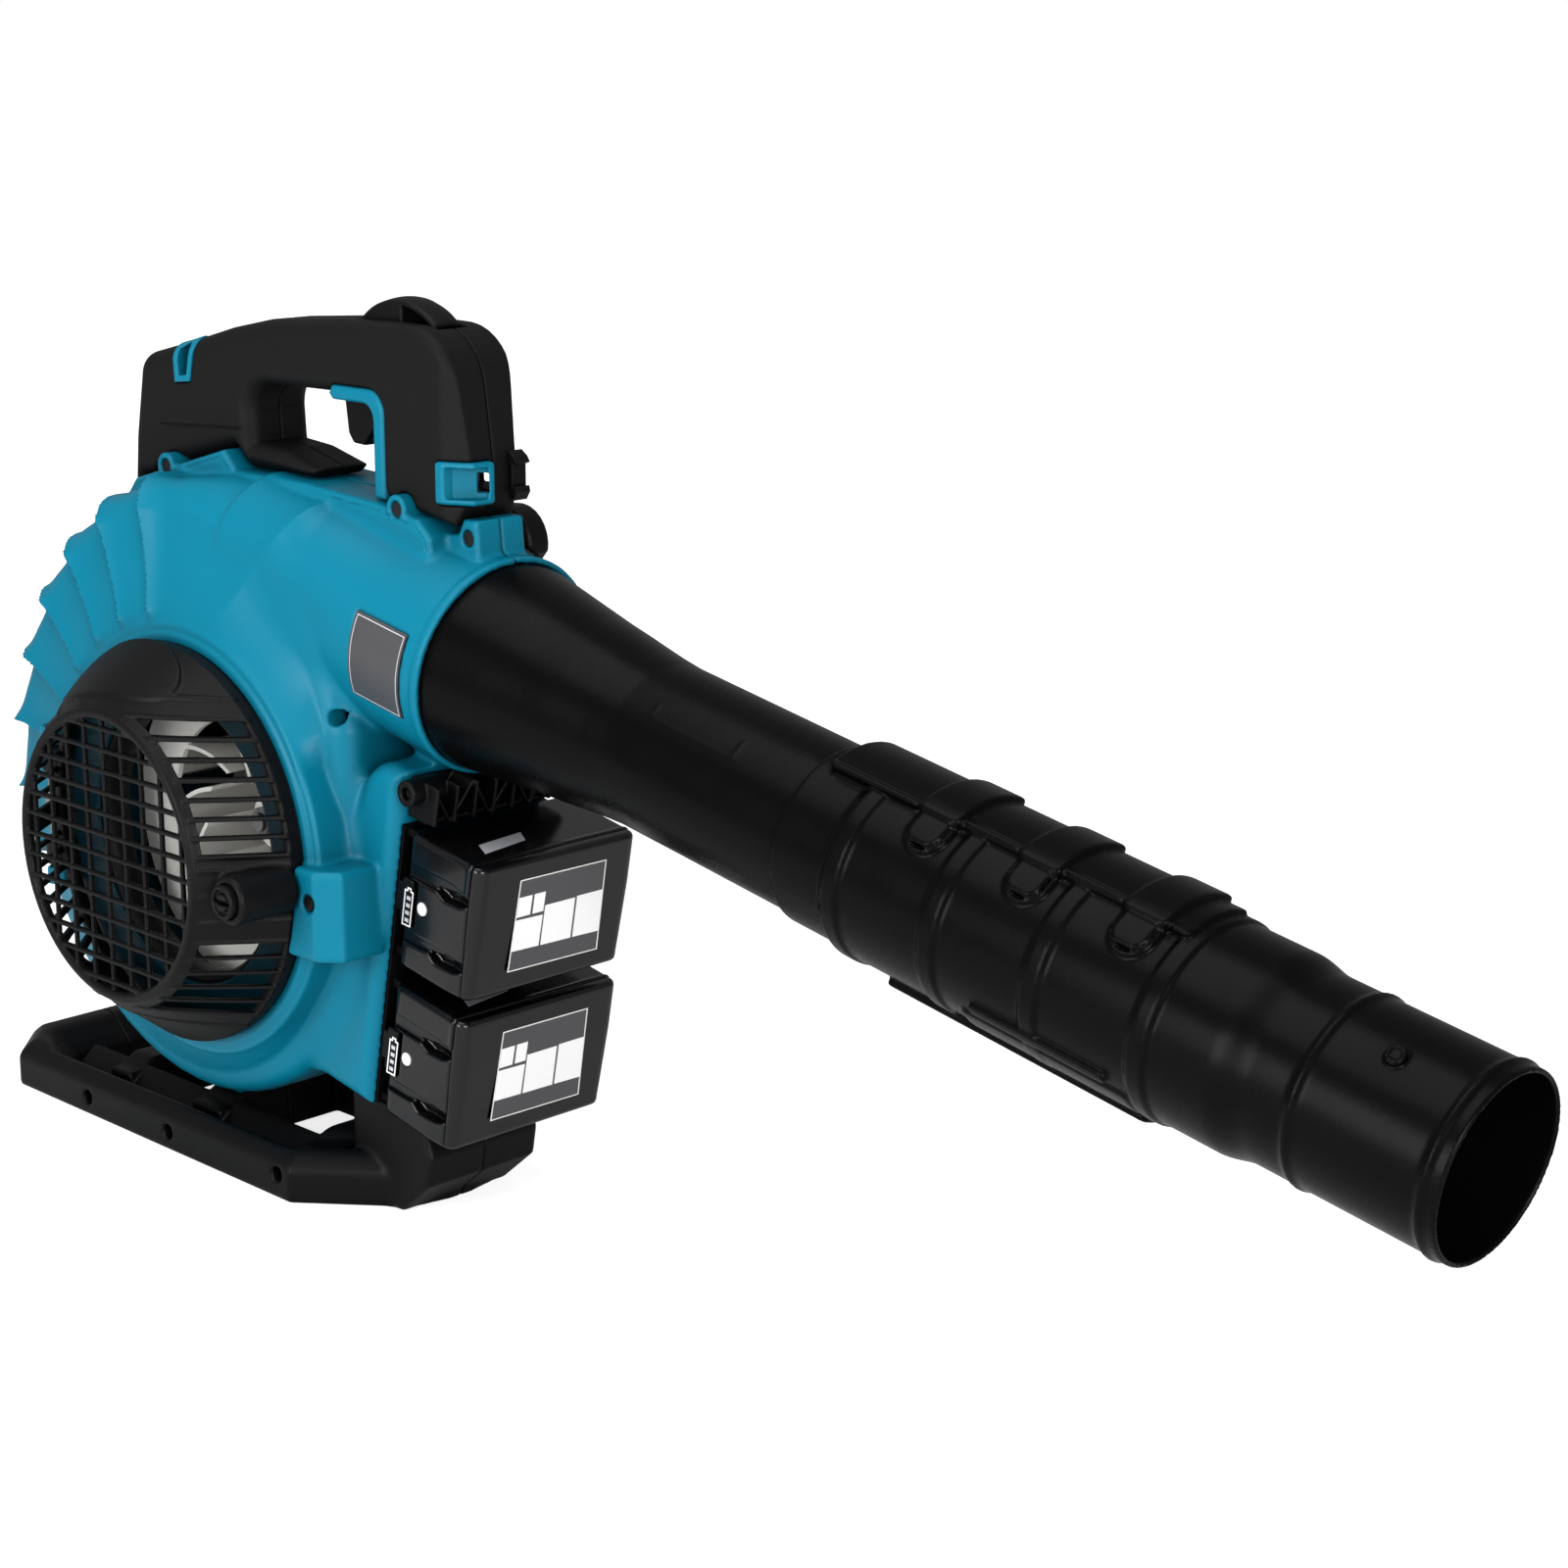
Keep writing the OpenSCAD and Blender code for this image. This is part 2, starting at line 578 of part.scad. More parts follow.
module speed_lever() color(BLACK) difference() {
    union() {
        intersection() {
            y_bar(lever_r, -lever_half_w, lever_half_w, lever_x, lever_z);
            along_y(-20, 20) polygon(concat([[lever_x, lever_z]], arc(lever_x, lever_z, 60, 47, 133)));
        }
        y_bar(7, -lever_half_w, lever_half_w, lever_x, lever_z);
    }
    // room for the screw post when the lever is forward
    intersection() {
        y_bar(lever_r - 3.7, -20, 20, lever_x, lever_z);
        along_y(-20, 20) polygon([[lever_x + 4, lever_z + 7], [lever_x + 60, lever_z], [lever_x + 60, 500],
            [lever_x + 12, 500]]);
    }
    y_bar(2.55, -20, 20, lever_x, lever_z);
}
module speed_lever_pin() color(STEEL) y_bar(2.5, -20, 20, lever_x, lever_z);

// ---------- screws ----------

module side_screw(x, z, head_y, tip_y) {
    y_bar(2, head_y, tip_y, x, z);
    difference() {
        y_bar(3.8, head_y, head_y + 3, x, z);
        translate([x, head_y + 1.4, z]) rotate([90, 0, 0]) cylinder(r = 1.9, h = 5, $fn = 6);
    }
}
module housing_screws() color(STEEL) {
    for (i = [0 : len(housing_screw_sites) - 1])
        let (p = housing_screw_sites[i], w = housing_screw_half_w[i]) side_screw(p[0], p[1], -w + 1, w - 12);
    side_screw(lug_screw_x, lug_screw_z, -lug_face + 1, -60);
}
module handle_screws() color(STEEL) mirror([0, 1, 0]) for (p = handle_screw_sites)
    side_screw(p[0], p[1], -handle_half_w, handle_half_w - 7);

// ---------- base ----------

base_outer = [[-214, -44], [-187, -70], [81, -73], [124, -38], [134, -22], [138, -8], [138, 8], [134, 22],
    [124, 38], [81, 73], [-187, 70], [-214, 44]];
base_inner = [[-176, -38], [-160, -48], [66, -48], [92, -24], [92, 24], [66, 48], [-160, 48], [-176, 38]];
block_outline = [[92, 0], [132, 0], [156, 20], [159, 36], [152, 55.5], [100, 67], [92, 60]];
// Cross bars of the base: [rear end, length].
cross_bars = [[-124, 20], [-43, 27], [60, 20]];
module base_bars() {
    for (s = [-1, 1]) translate([-160, s > 0 ? 34.5 : -50, 0]) cube([240, 15.5, 12]);
    for (bar = cross_bars) translate([bar[0], -40, 0]) cube([bar[1], 80, base_h]);
}
module base_form() difference() {
    union() {
        hull() {
            linear_extrude(base_h - 8) polygon(base_outer);
            linear_extrude(base_h) polygon([for (p = base_outer) [p[0] * 0.955, p[1] * 0.86]]);
        }
        along_y(-38, 38) polygon(block_outline);
        base_bars();
    }
    difference() {
        translate([0, 0, -1]) linear_extrude(base_h + 2) polygon(base_inner);
        base_bars();
    }
    scroll_form(-0.4);
    along_y(-34.4, 34.4) polygon([[-105, base_h], [-105, 62], [104.4, 90], [104.4, base_h]]);
    pitched() translate([90, -54.5, -104.3]) cube([column_front - 89.5, 112.5, 100]);
    pitched() translate([140, -80, -103.9]) cube([90, 160, 100]);
    for (p = base_screw_sites) {
        y_bar(2.05, -80, 52, p[0], p[1]);
        y_bar(4.4, -80, -56, p[0], p[1]);
    }
}
module base_right() color(BLACK) half(-1) base_form();
module base_left() color(BLACK) half(1) base_form();
module base_screws() color(STEEL) for (p = base_screw_sites) side_screw(p[0], p[1], -59, 44);

// ---------- battery packs ----------

flange_w = 31;
neck_w = 28;
flange_d = 2;
case_back = -26.5;
rail_gap = 0.3;
module pack_holder() color(BLACK) pitched() difference() {
    union() {
        translate([139.7, -43.6, -103]) cube([4, 95.2, 161]);
        for (i = [0 : 1], s = [-1, 1]) translate([pack_face - pack_d / 2, pack_y, pack_z - i * pack_pitch]) {
            translate([-pack_d / 2 - 0.5, -48, s > 0 ? flange_w + rail_gap : -35.5]) cube([4.7, 91, 4.2]);
            translate([case_back - 2.2, -48, s > 0 ? neck_w + rail_gap : -35.5]) cube([1.9, 91, 7.2]);
        }
    }
    for (i = [0 : 1]) holder_screw_seats(i);
}
module holder_screw_seats(i) for (y = [-38, 46]) translate([0, y, holder_screw_z[i]]) rotate([0, 90, 0]) {
    translate([0, 0, 130]) cylinder(r = 2.05, h = 20);
    translate([0, 0, 141.6]) cylinder(r = 3.8, h = 8);
}
holder_screw_z = [24, -62];
// Screw bores of radius r through the column wall, from x0 to x1 in the pitched frame.
module holder_bores(i, r, x0, x1) pitched() for (y = [-38, 46])
    translate([x0, y, holder_screw_z[i]]) rotate([0, 90, 0]) cylinder(r = r, h = x1 - x0);
module holder_screws() color(STEEL) for (i = [0 : 1]) {
    holder_bores(i, 2, 135, 142);
    holder_bores(i, 3.6, 141.6, 143.4);
}
module terminals() color(COPPER) for (i = [0 : 1]) at_pack(i) for (z = [-12, 12])
    translate([-pack_d / 2 - 0.5, 16, z - 0.4]) cube([6.5, 26, 0.8]);

module pack_outline(inset) polygon(concat(
    arc(case_back + 8 + inset, -pack_l / 2 + 8 + inset, 8, 180, 270),
    arc(pack_d / 2 - 7 - inset, -pack_l / 2 + 7 + inset, 7, 270, 360),
    arc(pack_d / 2 - 6 - inset, pack_l / 2 - 6 - inset, 6, 0, 90),
    arc(case_back + 6 + inset, pack_l / 2 - 6 - inset, 6, 90, 180)));
cover_split = 24.5;
button_x = -9.4;
module pack_block(h) translate([0, 0, -h / 2]) linear_extrude(h) pack_outline(0);
cell_r = 9.1;
release_half_w = 12;
module pack_cell_room() translate([-20, -43.4, -34]) cube([46, 95, 68]);
module pack_case(i) color(BLACK) at_pack(i) difference() {
    union() {
        intersection() {
            pack_block(pack_w);
            translate([-60, -100, -60]) cube([60 + cover_split, 200, 120]);
        }
        translate([-pack_d / 2 + 0.4, -47, -flange_w]) cube([flange_d, 97, 2 * flange_w]);
        translate([-30, -47, -neck_w]) cube([8, 97, 2 * neck_w]);
    }
    pack_cell_room();
    for (z = [-12, 12]) translate([-40, 12, z - 1.2]) cube([16.4, 60, 2.4]);
    // pocket of the release button, and its way out to the rails
    translate([-33, -60, -release_half_w - 0.5]) cube([18.5, 14, 2 * release_half_w + 1]);
    translate([button_x, -60, 0]) rotate([-90, 0, 0]) cylinder(r = 3.65, h = 12);
    // finger scoops
    for (s = [-1, 1]) translate([2, -pack_l / 2 - 3, s * 27]) rotate([0, 90, 0])
        cylinder(r = 7, h = 22, center = true);
}
module pack_cover(i) color(BLACK) at_pack(i) difference() {
    intersection() {
        pack_block(pack_w);
        translate([cover_split + 0.1, -100, -60]) cube([20, 200, 120]);
    }
    pack_cell_room();
}
module pack_cells(i) color([0.2, 0.45, 0.5]) at_pack(i) for (k = [-2 : 2], x = [-10, 9.5])
    translate([x, 4 + k * 18.6, -32.5]) cylinder(r = cell_r, h = 65, $fn = 32);
module pack_release(i) color([0.25, 0.25, 0.27]) at_pack(i) difference() {
    union() {
        translate([-26, -54.3, -release_half_w]) cube([8, 8, 2 * release_half_w]);
        translate([-30.8, -53, -8]) cube([6, 6, 16]);
    }
    translate([-24, -58, -8]) cube([2, 5, 16]);
}
module pack_gauge_button(i) color(PALE) at_pack(i) translate([button_x, -54.4, 0]) rotate([-90, 0, 0])
    cylinder(r = 3.6, h = 5);

module pack_upper_case() pack_case(0);
module pack_upper_cover() pack_cover(0);
module pack_upper_cells() pack_cells(0);
module pack_upper_release() pack_release(0);
module pack_upper_gauge_button() pack_gauge_button(0);
module pack_lower_case() pack_case(1);
module pack_lower_cover() pack_cover(1);
module pack_lower_cells() pack_cells(1);
module pack_lower_release() pack_release(1);
module pack_lower_gauge_button() pack_gauge_button(1);

// Ribbed bracket under the collar, over the packs.
module collar_bracket() color(BLACK) pitched() difference() {
    union() {
        translate([144.2, -44, 64]) cube([28, 96, 3]);
        for (k = [0 : 7]) translate([144.2, -43 + 13 * k, 66]) cube([26, 2.4, 20]);
        translate([144.2, -44, 66]) cube([3, 96, 20]);
        y_bar(7, -52, -30, 151.4, 80);
    }
    duct_clearance();
    y_bar(3.2, -54, -48, 151.4, 80);
}
module duct_clearance() translate([0, 0, duct_z]) rotate([0, 90, 0]) cylinder(r = collar_r + 1, h = 400);

// ---------- outlet tubes ----------

module rear_tube() color(BLACK) duct() difference() {
    union() {
        rotate_extrude() polygon([[51, 118.4], [55.2, 118.4], [55.2, 162], [51.8, 189], [47.8, 221],
            [44.6, 250],
            [42.7, 266], [rear_tube_r, 277], [rear_tube_r, rear_tube_end], [rear_tube_r - 2, rear_tube_end],
            [rear_tube_r - 2, 277], [40.7, 266], [42.5, 248], [45.6, 221], [49.6, 189], [51, 170]]);
        // stop peg for the front tube
        rotate([0, 0, 270 - 48]) translate([rear_tube_r - 1, 0, 473]) rotate([0, 90, 0])
            cylinder(r = 5, h = 3.3);
    }
    // bayonet slots
    for (a = [0, 180]) wall_patch(50, 56, 131.8, 138.2, a - 4, a + 38);
}
bore_r = 42.5;
relief_r = 44.9;
module front_tube() color(BLACK) duct() difference() {
    union() {
        rotate_extrude() polygon([[bore_r, front_tube_start], [43.7, front_tube_start], [43.7, 428],
            [46, 430],
            [46, 648], [42.8, 664], [42.8, front_tube_end], [40.3, front_tube_end], [40.3, 662],
                [bore_r, 630]]);
        for (k = [0 : 3]) translate([0, 0, 431 + 58.8 * k]) difference() {
            cylinder(r = 47.2, h = 10);
            translate([0, 0, -1]) cylinder(r = 45, h = 12);
        }
        for (s = [684, 748]) translate([0, 0, s]) difference() {
            cylinder(r = 44.2, h = 5);
            translate([0, 0, -1]) cylinder(r = 42, h = 7);
        }
        wall_patch(45, 50.4, 408, 612, 66, 112);
        wall_patch(45, 50.6, 462, 606, -114, -66);
        for (k = [0 : 2]) wall_patch(45, 52.4, 461 + stop_pitch * k, 485 + stop_pitch * k, 60, 116);
        for (k = [0 : 2]) wall_patch(45, 49, 463 + stop_pitch * k, 483 + stop_pitch * k, 44, 62);
        rotate([0, 0, 270 - 57]) translate([41.5, 0, 717]) rotate([0, 90, 0]) cylinder(r = 5, h = 5);
    }
    wall_patch(42, relief_r, 440, 606, 38, 98);
}

housing_right();
housing_left();
inlet_ring();
rating_plate();
fan();
fan_nut();
motor_shaft();
rotor();
stator();
windings();
motor_plate();
motor_plate_screws();
bearings();
motor_leads();
control_board();
intake_cover();
cover_hinge_pin();
cover_hinge_spring();
cover_latch();
handle_right();
handle_left();
strap_eye();
guard_lip();
strap_anchor();
strap_hook();
side_hanger();
trigger();
trigger_pin();
trigger_spring();
trigger_switch();
switch_lead();
speed_lever();
speed_lever_pin();
housing_screws();
handle_screws();
base_right();
base_left();
base_screws();
pack_holder();
holder_screws();
terminals();
pack_upper_case();
pack_upper_cover();
pack_upper_cells();
pack_upper_release();
pack_upper_gauge_button();
pack_lower_case();
pack_lower_cover();
pack_lower_cells();
pack_lower_release();
pack_lower_gauge_button();
collar_bracket();
rear_tube();
front_tube();
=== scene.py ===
"""Looks of a hand-held cordless leaf blower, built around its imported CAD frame.

A shape is a signed distance field in millimetres, negative inside, and is meshed here. x points along the
outlet, y to the left and z up. Most of the housing is drawn in the pitched frame: its origin is on the fan's
axis, and its x axis runs along the outlet, which droops.
"""
import math

import bpy
import numpy as np
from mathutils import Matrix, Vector


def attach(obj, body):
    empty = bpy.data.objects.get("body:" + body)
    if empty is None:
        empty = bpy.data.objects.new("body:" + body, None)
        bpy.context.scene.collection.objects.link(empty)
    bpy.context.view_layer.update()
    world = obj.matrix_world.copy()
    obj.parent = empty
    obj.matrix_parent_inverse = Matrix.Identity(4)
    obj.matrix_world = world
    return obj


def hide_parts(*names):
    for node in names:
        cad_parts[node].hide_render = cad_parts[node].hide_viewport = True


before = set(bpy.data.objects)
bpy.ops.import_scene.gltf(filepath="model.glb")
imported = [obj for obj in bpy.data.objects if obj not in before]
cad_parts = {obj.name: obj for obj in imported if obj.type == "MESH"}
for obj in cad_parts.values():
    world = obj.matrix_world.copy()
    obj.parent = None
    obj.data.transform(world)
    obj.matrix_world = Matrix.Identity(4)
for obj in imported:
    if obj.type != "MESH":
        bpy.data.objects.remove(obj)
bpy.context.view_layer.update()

MM = 0.001                                  # millimetres to Blender's metres
FAN_Z = 188.3                               # height of the fan's axis
DROOP = math.radians(10.8)                  # how far the outlet points down
CD, SD = math.cos(DROOP), math.sin(DROOP)
DUCT_Z = 143.3                              # the outlet's axis over the fan's, in the pitched frame

# -------- distance fields


def smin(a, b, k):
    """The union of two fields with a fillet of size k."""
    h = np.clip(0.5 + 0.5 * (b - a) / k, 0, 1)
    return b + (a - b) * h - k * h * (1 - h)


def smax(a, b, k):
    return -smin(-a, -b, k)


def smooth(x, a, b):
    t = np.clip((x - a) / (b - a), 0, 1)
    return t * t * (3 - 2 * t)


def outline(u, v, points):
    """Signed distance from the polygon through points, negative inside."""
    pts = np.asarray(points, np.float32)
    shape = np.broadcast(u, v).shape
    best = np.full(shape, 1e9, np.float32)
    sign = np.ones(shape, np.float32)
    for a, b in zip(pts, np.roll(pts, -1, 0)):
        eu, ev = b - a
        wu, wv = u - a[0], v - a[1]
        t = np.clip((wu * eu + wv * ev) / max(eu * eu + ev * ev, 1e-9), 0, 1)
        best = np.minimum(best, (wu - eu * t) ** 2 + (wv - ev * t) ** 2)
        c1, c2, c3 = v >= a[1], v < b[1], eu * wv > ev * wu
        sign = np.where((c1 & c2 & c3) | (~c1 & ~c2 & ~c3), -sign, sign)
    return sign * np.sqrt(best)


def prism(d, e, r=1.0):
    """Where two fields overlap, with the shared edge rounded to radius r."""
    a, b = d + r, e + r
    return np.minimum(np.maximum(a, b), 0) + np.hypot(np.maximum(a, 0), np.maximum(b, 0)) - r


def span(v, lo, hi):
    return np.abs(v - (lo + hi) / 2) - (hi - lo) / 2


def box(x, y, z, lo, hi, r=1.0):
    q = [span(v, a, b) + r for v, a, b in zip((x, y, z), lo, hi)]
    outside = np.sqrt(sum(np.maximum(v, 0) ** 2 for v in q))
    inside = np.minimum(np.maximum(np.maximum(q[0], q[1]), q[2]), 0)
    return outside + inside - r


def rod(u, v, w, cu, cv, radius, lo, hi, r=0.5):
    """A round bar along w, with its axis at (cu, cv)."""
    return prism(np.hypot(u - cu, v - cv) - radius, span(w, lo, hi), r)


def cut(f, tool, k=0.8):
    return smax(f, -tool, k)


def arc(x, z, r, a0, a1, n=8):
    """Points on the arc round (x, z) from angle a0 to a1, in degrees."""
    turns = [math.radians(a0 + (a1 - a0) * i / n) for i in range(n + 1)]
    return [(x + r * math.cos(a), z + r * math.sin(a)) for a in turns]


def pitch(x, z):
    """From the part's frame to the pitched frame."""
    return x * CD - (z - FAN_Z) * SD, x * SD + (z - FAN_Z) * CD


def unpitch(p):
    """Points back from the pitched frame to the part's frame."""
    x, y, z = p[:, 0], p[:, 1], p[:, 2]
    return np.stack([x * CD + z * SD, y, FAN_Z - x * SD + z * CD], 1)


# -------- meshes from fields

CORNERS = [(i, j, k) for i in (0, 1) for j in (0, 1) for k in (0, 1)]


def lerp(a, b, s):
    return a + (b - a) * s


def sample(f, p):
    """Value and gradient of grid f at points p, in grid units."""
    i = np.clip(np.floor(p).astype(int), 0, np.array(f.shape) - 2)
    t = (p - i).astype(np.float32)
    c = [f[i[:, 0] + a, i[:, 1] + b, i[:, 2] + d] for a, b, d in CORNERS]
    u, v, w = t[:, 0], t[:, 1], t[:, 2]
    x = [lerp(c[n], c[n + 4], u) for n in range(4)]
    val = lerp(lerp(x[0], x[1], w), lerp(x[2], x[3], w), v)
    gu = lerp(lerp(c[4] - c[0], c[5] - c[1], w), lerp(c[6] - c[2], c[7] - c[3], w), v)
    gv = lerp(x[2] - x[0], x[3] - x[1], w)
    gw = lerp(x[1] - x[0], x[3] - x[2], v)
    return val, np.stack([gu, gv, gw], 1)


def net(f):
    """Quads over the zero surface of grid f, with their points moved on to the surface."""
    s = f < 0
    n = np.array(f.shape) - 1
    count = np.zeros(n, np.int8)
    for a, b, c in CORNERS:
        count += s[a:n[0] + a, b:n[1] + b, c:n[2] + c]
    active = (count > 0) & (count < 8)
    cells = np.argwhere(active)
    index = np.full(n, -1, np.int32)
    index[active] = np.arange(len(cells))
    total = np.zeros((len(cells), 3), np.float32)
    hits = np.zeros(len(cells), np.float32)
    for axis in range(3):
        others = [m for m in range(3) if m != axis]
        unit = np.eye(3, dtype=int)[axis]
        for o1 in (0, 1):
            for o2 in (0, 1):
                off = np.zeros(3, int)
                off[others[0]], off[others[1]] = o1, o2
                q = cells + off
                f0 = f[q[:, 0], q[:, 1], q[:, 2]]
                f1 = f[q[:, 0] + unit[0], q[:, 1] + unit[1], q[:, 2] + unit[2]]
                m = (f0 < 0) != (f1 < 0)
                t = f0[m] / (f0[m] - f1[m])
                total[m] += q[m] + t[:, None] * unit
                hits[m] += 1
    p = total / hits[:, None]
    # three short steps down the gradient, kept near each point's own cell
    for _ in range(3):
        val, g = sample(f, p)
        step = -val[:, None] * g / np.maximum((g * g).sum(1), 0.05)[:, None]
        size = np.linalg.norm(step, axis=1)
        step *= (np.minimum(size, 0.35) / np.maximum(size, 1e-9))[:, None]
        p = np.clip(p + step, cells - 0.2, cells + 1.2)
    quads = []
    for axis in range(3):
        a, b = [m for m in range(3) if m != axis]
        lo = [slice(None)] * 3
        hi = [slice(None)] * 3
        lo[axis], hi[axis] = slice(0, -1), slice(1, None)
        flips = s[tuple(lo)] != s[tuple(hi)]
        e = np.argwhere(flips)
        e = e[(e[:, a] > 0) & (e[:, b] > 0) & (e[:, a] < n[a]) & (e[:, b] < n[b])]
        inside = s[e[:, 0], e[:, 1], e[:, 2]]
        ring = []
        for da, db in ((-1, -1), (0, -1), (0, 0), (-1, 0)):
            q = e.copy()
            q[:, a] += da
            q[:, b] += db
            ring.append(index[q[:, 0], q[:, 1], q[:, 2]])
        ring = np.stack(ring, 1)
        turn = inside if axis != 1 else ~inside
        ring[~turn] = ring[~turn][:, ::-1]
        quads.append(ring)
    return p, np.concatenate(quads)


def add_mesh(name, verts, faces, body, material, replaced=None, sharp=None):
    """A new piece from points in metres. Its faces all have the same number of corners."""
    faces = np.asarray(faces, np.int32)
    me = bpy.data.meshes.new(name)
    me.vertices.add(len(verts))
    me.vertices.foreach_set("co", np.asarray(verts, np.float32).ravel())
    me.loops.add(faces.size)
    me.loops.foreach_set("vertex_index", faces.ravel())
    me.polygons.add(len(faces))
    me.polygons.foreach_set("loop_start", np.arange(0, faces.size, faces.shape[1], dtype=np.int32))
    me.update(calc_edges=True)
    me.validate()
    me.shade_smooth()
    if sharp is not None:
        me.set_sharp_from_angle(angle=math.radians(sharp))
    me.materials.append(material)
    obj = bpy.data.objects.new(name, me)
    bpy.context.scene.collection.objects.link(obj)
    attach(obj, body)
    if replaced:
        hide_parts(replaced)
    return obj


def sculpt(name, field, lo, hi, step, body, material, replaced, to_part=None):
    """A piece in place of a CAD node, from a distance field over the box lo to hi."""
    lo, hi = np.array(lo, float), np.array(hi, float)
    size = np.ceil((hi - lo) / step).astype(int) + 1
    ax = [(lo[m] + step * np.arange(size[m])).astype(np.float32) for m in range(3)]
    x, y, z = ax[0][:, None, None], ax[1][None, :, None], ax[2][None, None, :]
    f = np.ascontiguousarray(np.broadcast_to(field(x, y, z), size)).astype(np.float32)
    p, quads = net(f)
    p = lo + p * step
    if to_part is not None:
        p = to_part(p)
    return add_mesh(name, p * MM, quads, body, material, replaced)


# -------- materials

# sizes in metres, as shaders take them
EDGE_R = 0.0012                             # about the width of a rubbed edge
SHADE_REACH = 0.04                         # hollows narrower than this get painted shade
FAN_SHADE_R, FAN_SHADE_Y = 0.1088, (-0.079, 0.06)     # painted shade round the fan: out to this radius, between these y


def node(tree, kind, inputs=None, **settings):
    """A new shader node. inputs gives a value, or the output to link, for an input's name or number."""
    made = tree.nodes.new("ShaderNode" + kind)
    for key, value in settings.items():
        setattr(made, key, value)
    feed(tree, made, inputs or {})
    return made


def feed(tree, target, inputs):
    for key, value in inputs.items():
        if isinstance(value, bpy.types.NodeSocket):
            tree.links.new(value, target.inputs[key])
        else:
            target.inputs[key].default_value = value


def tone(colour, gain, lift=0.0):
    return (*[min(1, c * gain + lift) for c in colour], 1)


def plastic(name, colour, rough, grain=900.0, bump=0.06, vary=0.05, wear=0.25, coat=0.0, metal=0.0,
            spec=0.5, cavity=0.85, fan_shade=False):
    """Moulded plastic or metal: fine grain, uneven roughness, painted shade in hollows and lighter rubbed
    edges.
    """
    mat = bpy.data.materials.new(name)
    mat.use_nodes = True
    tree = mat.node_tree
    place = node(tree, "TexCoord").outputs["Object"]
    geom = node(tree, "NewGeometry")

    def calc(operation, *values):
        return node(tree, "Math", dict(enumerate(values)), operation=operation).outputs[0]

    def mix(amount, first, second, blend="MIX"):
        return node(tree, "MixRGB", {0: amount, 1: first, 2: second}, blend_type=blend).outputs[0]

    def noise(scale, detail, detail_rough=0.5):
        inputs = {"Scale": scale, "Detail": detail, "Roughness": detail_rough, "Vector": place}
        return node(tree, "TexNoise", inputs).outputs["Fac"]

    cloud, fine, smear = noise(14.0, 3.0), noise(grain, 2.0, 0.6), noise(60.0, 4.0, 0.65)
    speckle = calc("MULTIPLY_ADD", cloud, 0.7, calc("MULTIPLY", fine, 0.3))
    shown = mix(speckle, tone(colour, 1 - vary), tone(colour, 1 + vary))
    # where a rounded copy of the surface turns away from the real one there is an edge
    rounded = node(tree, "Bevel", {"Radius": EDGE_R}, samples=4).outputs["Normal"]
    dot = node(tree, "VectorMath", {0: rounded, 1: geom.outputs["Normal"]}, operation="DOT_PRODUCT")
    edge = calc("MULTIPLY", calc("SUBTRACT", 1.0, dot.outputs["Value"]), 6.0)
    edge = calc("MULTIPLY", calc("MINIMUM", edge, 1.0), calc("MULTIPLY", smear, wear))
    shown = mix(edge, shown, tone(colour, 1.6, 0.06))
    # painted shade: the colour is darkened in hollows and creases, by ambient occlusion
    open_sky = node(tree, "AmbientOcclusion", {"Distance": SHADE_REACH}, samples=4).outputs["AO"]
    shown = mix(cavity, shown, calc("POWER", open_sky, 1.6), "MULTIPLY")
    if fan_shade:
        # painted shade: the walls round the fan see almost no light, so their colour is multiplied dark
        at = node(tree, "SeparateXYZ", {0: geom.outputs["Position"]}).outputs
        height = calc("SUBTRACT", at[2], FAN_Z / 1000)
        radius = calc("SQRT", calc("MULTIPLY_ADD", height, height, calc("POWER", at[0], 2.0)))
        inside = calc("MULTIPLY", calc("LESS_THAN", radius, FAN_SHADE_R), calc("LESS_THAN", at[1], FAN_SHADE_Y[1]))
        inside = calc("MULTIPLY", inside, calc("GREATER_THAN", at[1], FAN_SHADE_Y[0]))
        shown = mix(inside, shown, (0.15, 0.12, 0.12, 1), "MULTIPLY")
    relief = node(tree, "Bump", {"Strength": bump, "Distance": 0.0004, "Height": fine}).outputs["Normal"]
    feed(tree, tree.nodes["Principled BSDF"], {
        "Base Color": shown, "Roughness": calc("ADD", rough - 0.05, calc("MULTIPLY", smear, 0.12)),
        "Normal": relief, "Metallic": metal, "Specular IOR Level": spec, "Coat Weight": coat,
        "Coat Roughness": 0.08})
    return mat


TEAL = plastic("teal_plastic", (0.0005, 0.160, 0.252), 0.38, 1400, 0.10, 0.04, 0.14, spec=0.15, cavity=0.6,
               fan_shade=True)
BLACK = plastic("black_plastic", (0.0040, 0.0040, 0.0044), 0.42, 1400, 0.14, 0.10, 0.10, spec=0.12)
GRIP = plastic("grip_rubber", (0.0062, 0.0060, 0.0060), 0.55, 1900, 0.22, 0.10, 0.10, spec=0.10)
TUBE = plastic("tube_plastic", (0.0016, 0.0016, 0.0018), 0.27, 1500, 0.10, 0.10, 0.08, spec=0.06)
GLOSS = plastic("pack_plastic", (0.003, 0.003, 0.0036), 0.2, 700, 0.03, 0.08, 0.10, coat=0.12, spec=0.32)
PALE = plastic("pale_plastic", (0.80, 0.79, 0.75), 0.45, 900, 0.06, 0.04, 0.1, cavity=0.12)
WHITE = plastic("white_print", (0.93, 0.93, 0.93), 0.4, 900, 0.02, 0.02, 0.0)
LABEL = plastic("label_film", (0.055, 0.055, 0.06), 0.38, 500, 0.02, 0.05, 0.0)
SILVER = plastic("silver_print", (0.55, 0.56, 0.6), 0.3, 800, 0.02, 0.03, 0.0)
STEEL = plastic("zinc_steel", (0.35, 0.35, 0.36), 0.32, 700, 0.08, 0.10, 0.3, metal=1.0)
DARK_STEEL = plastic("black_oxide_steel", (0.05, 0.05, 0.052), 0.38, 700, 0.08, 0.10, 0.5, metal=1.0)
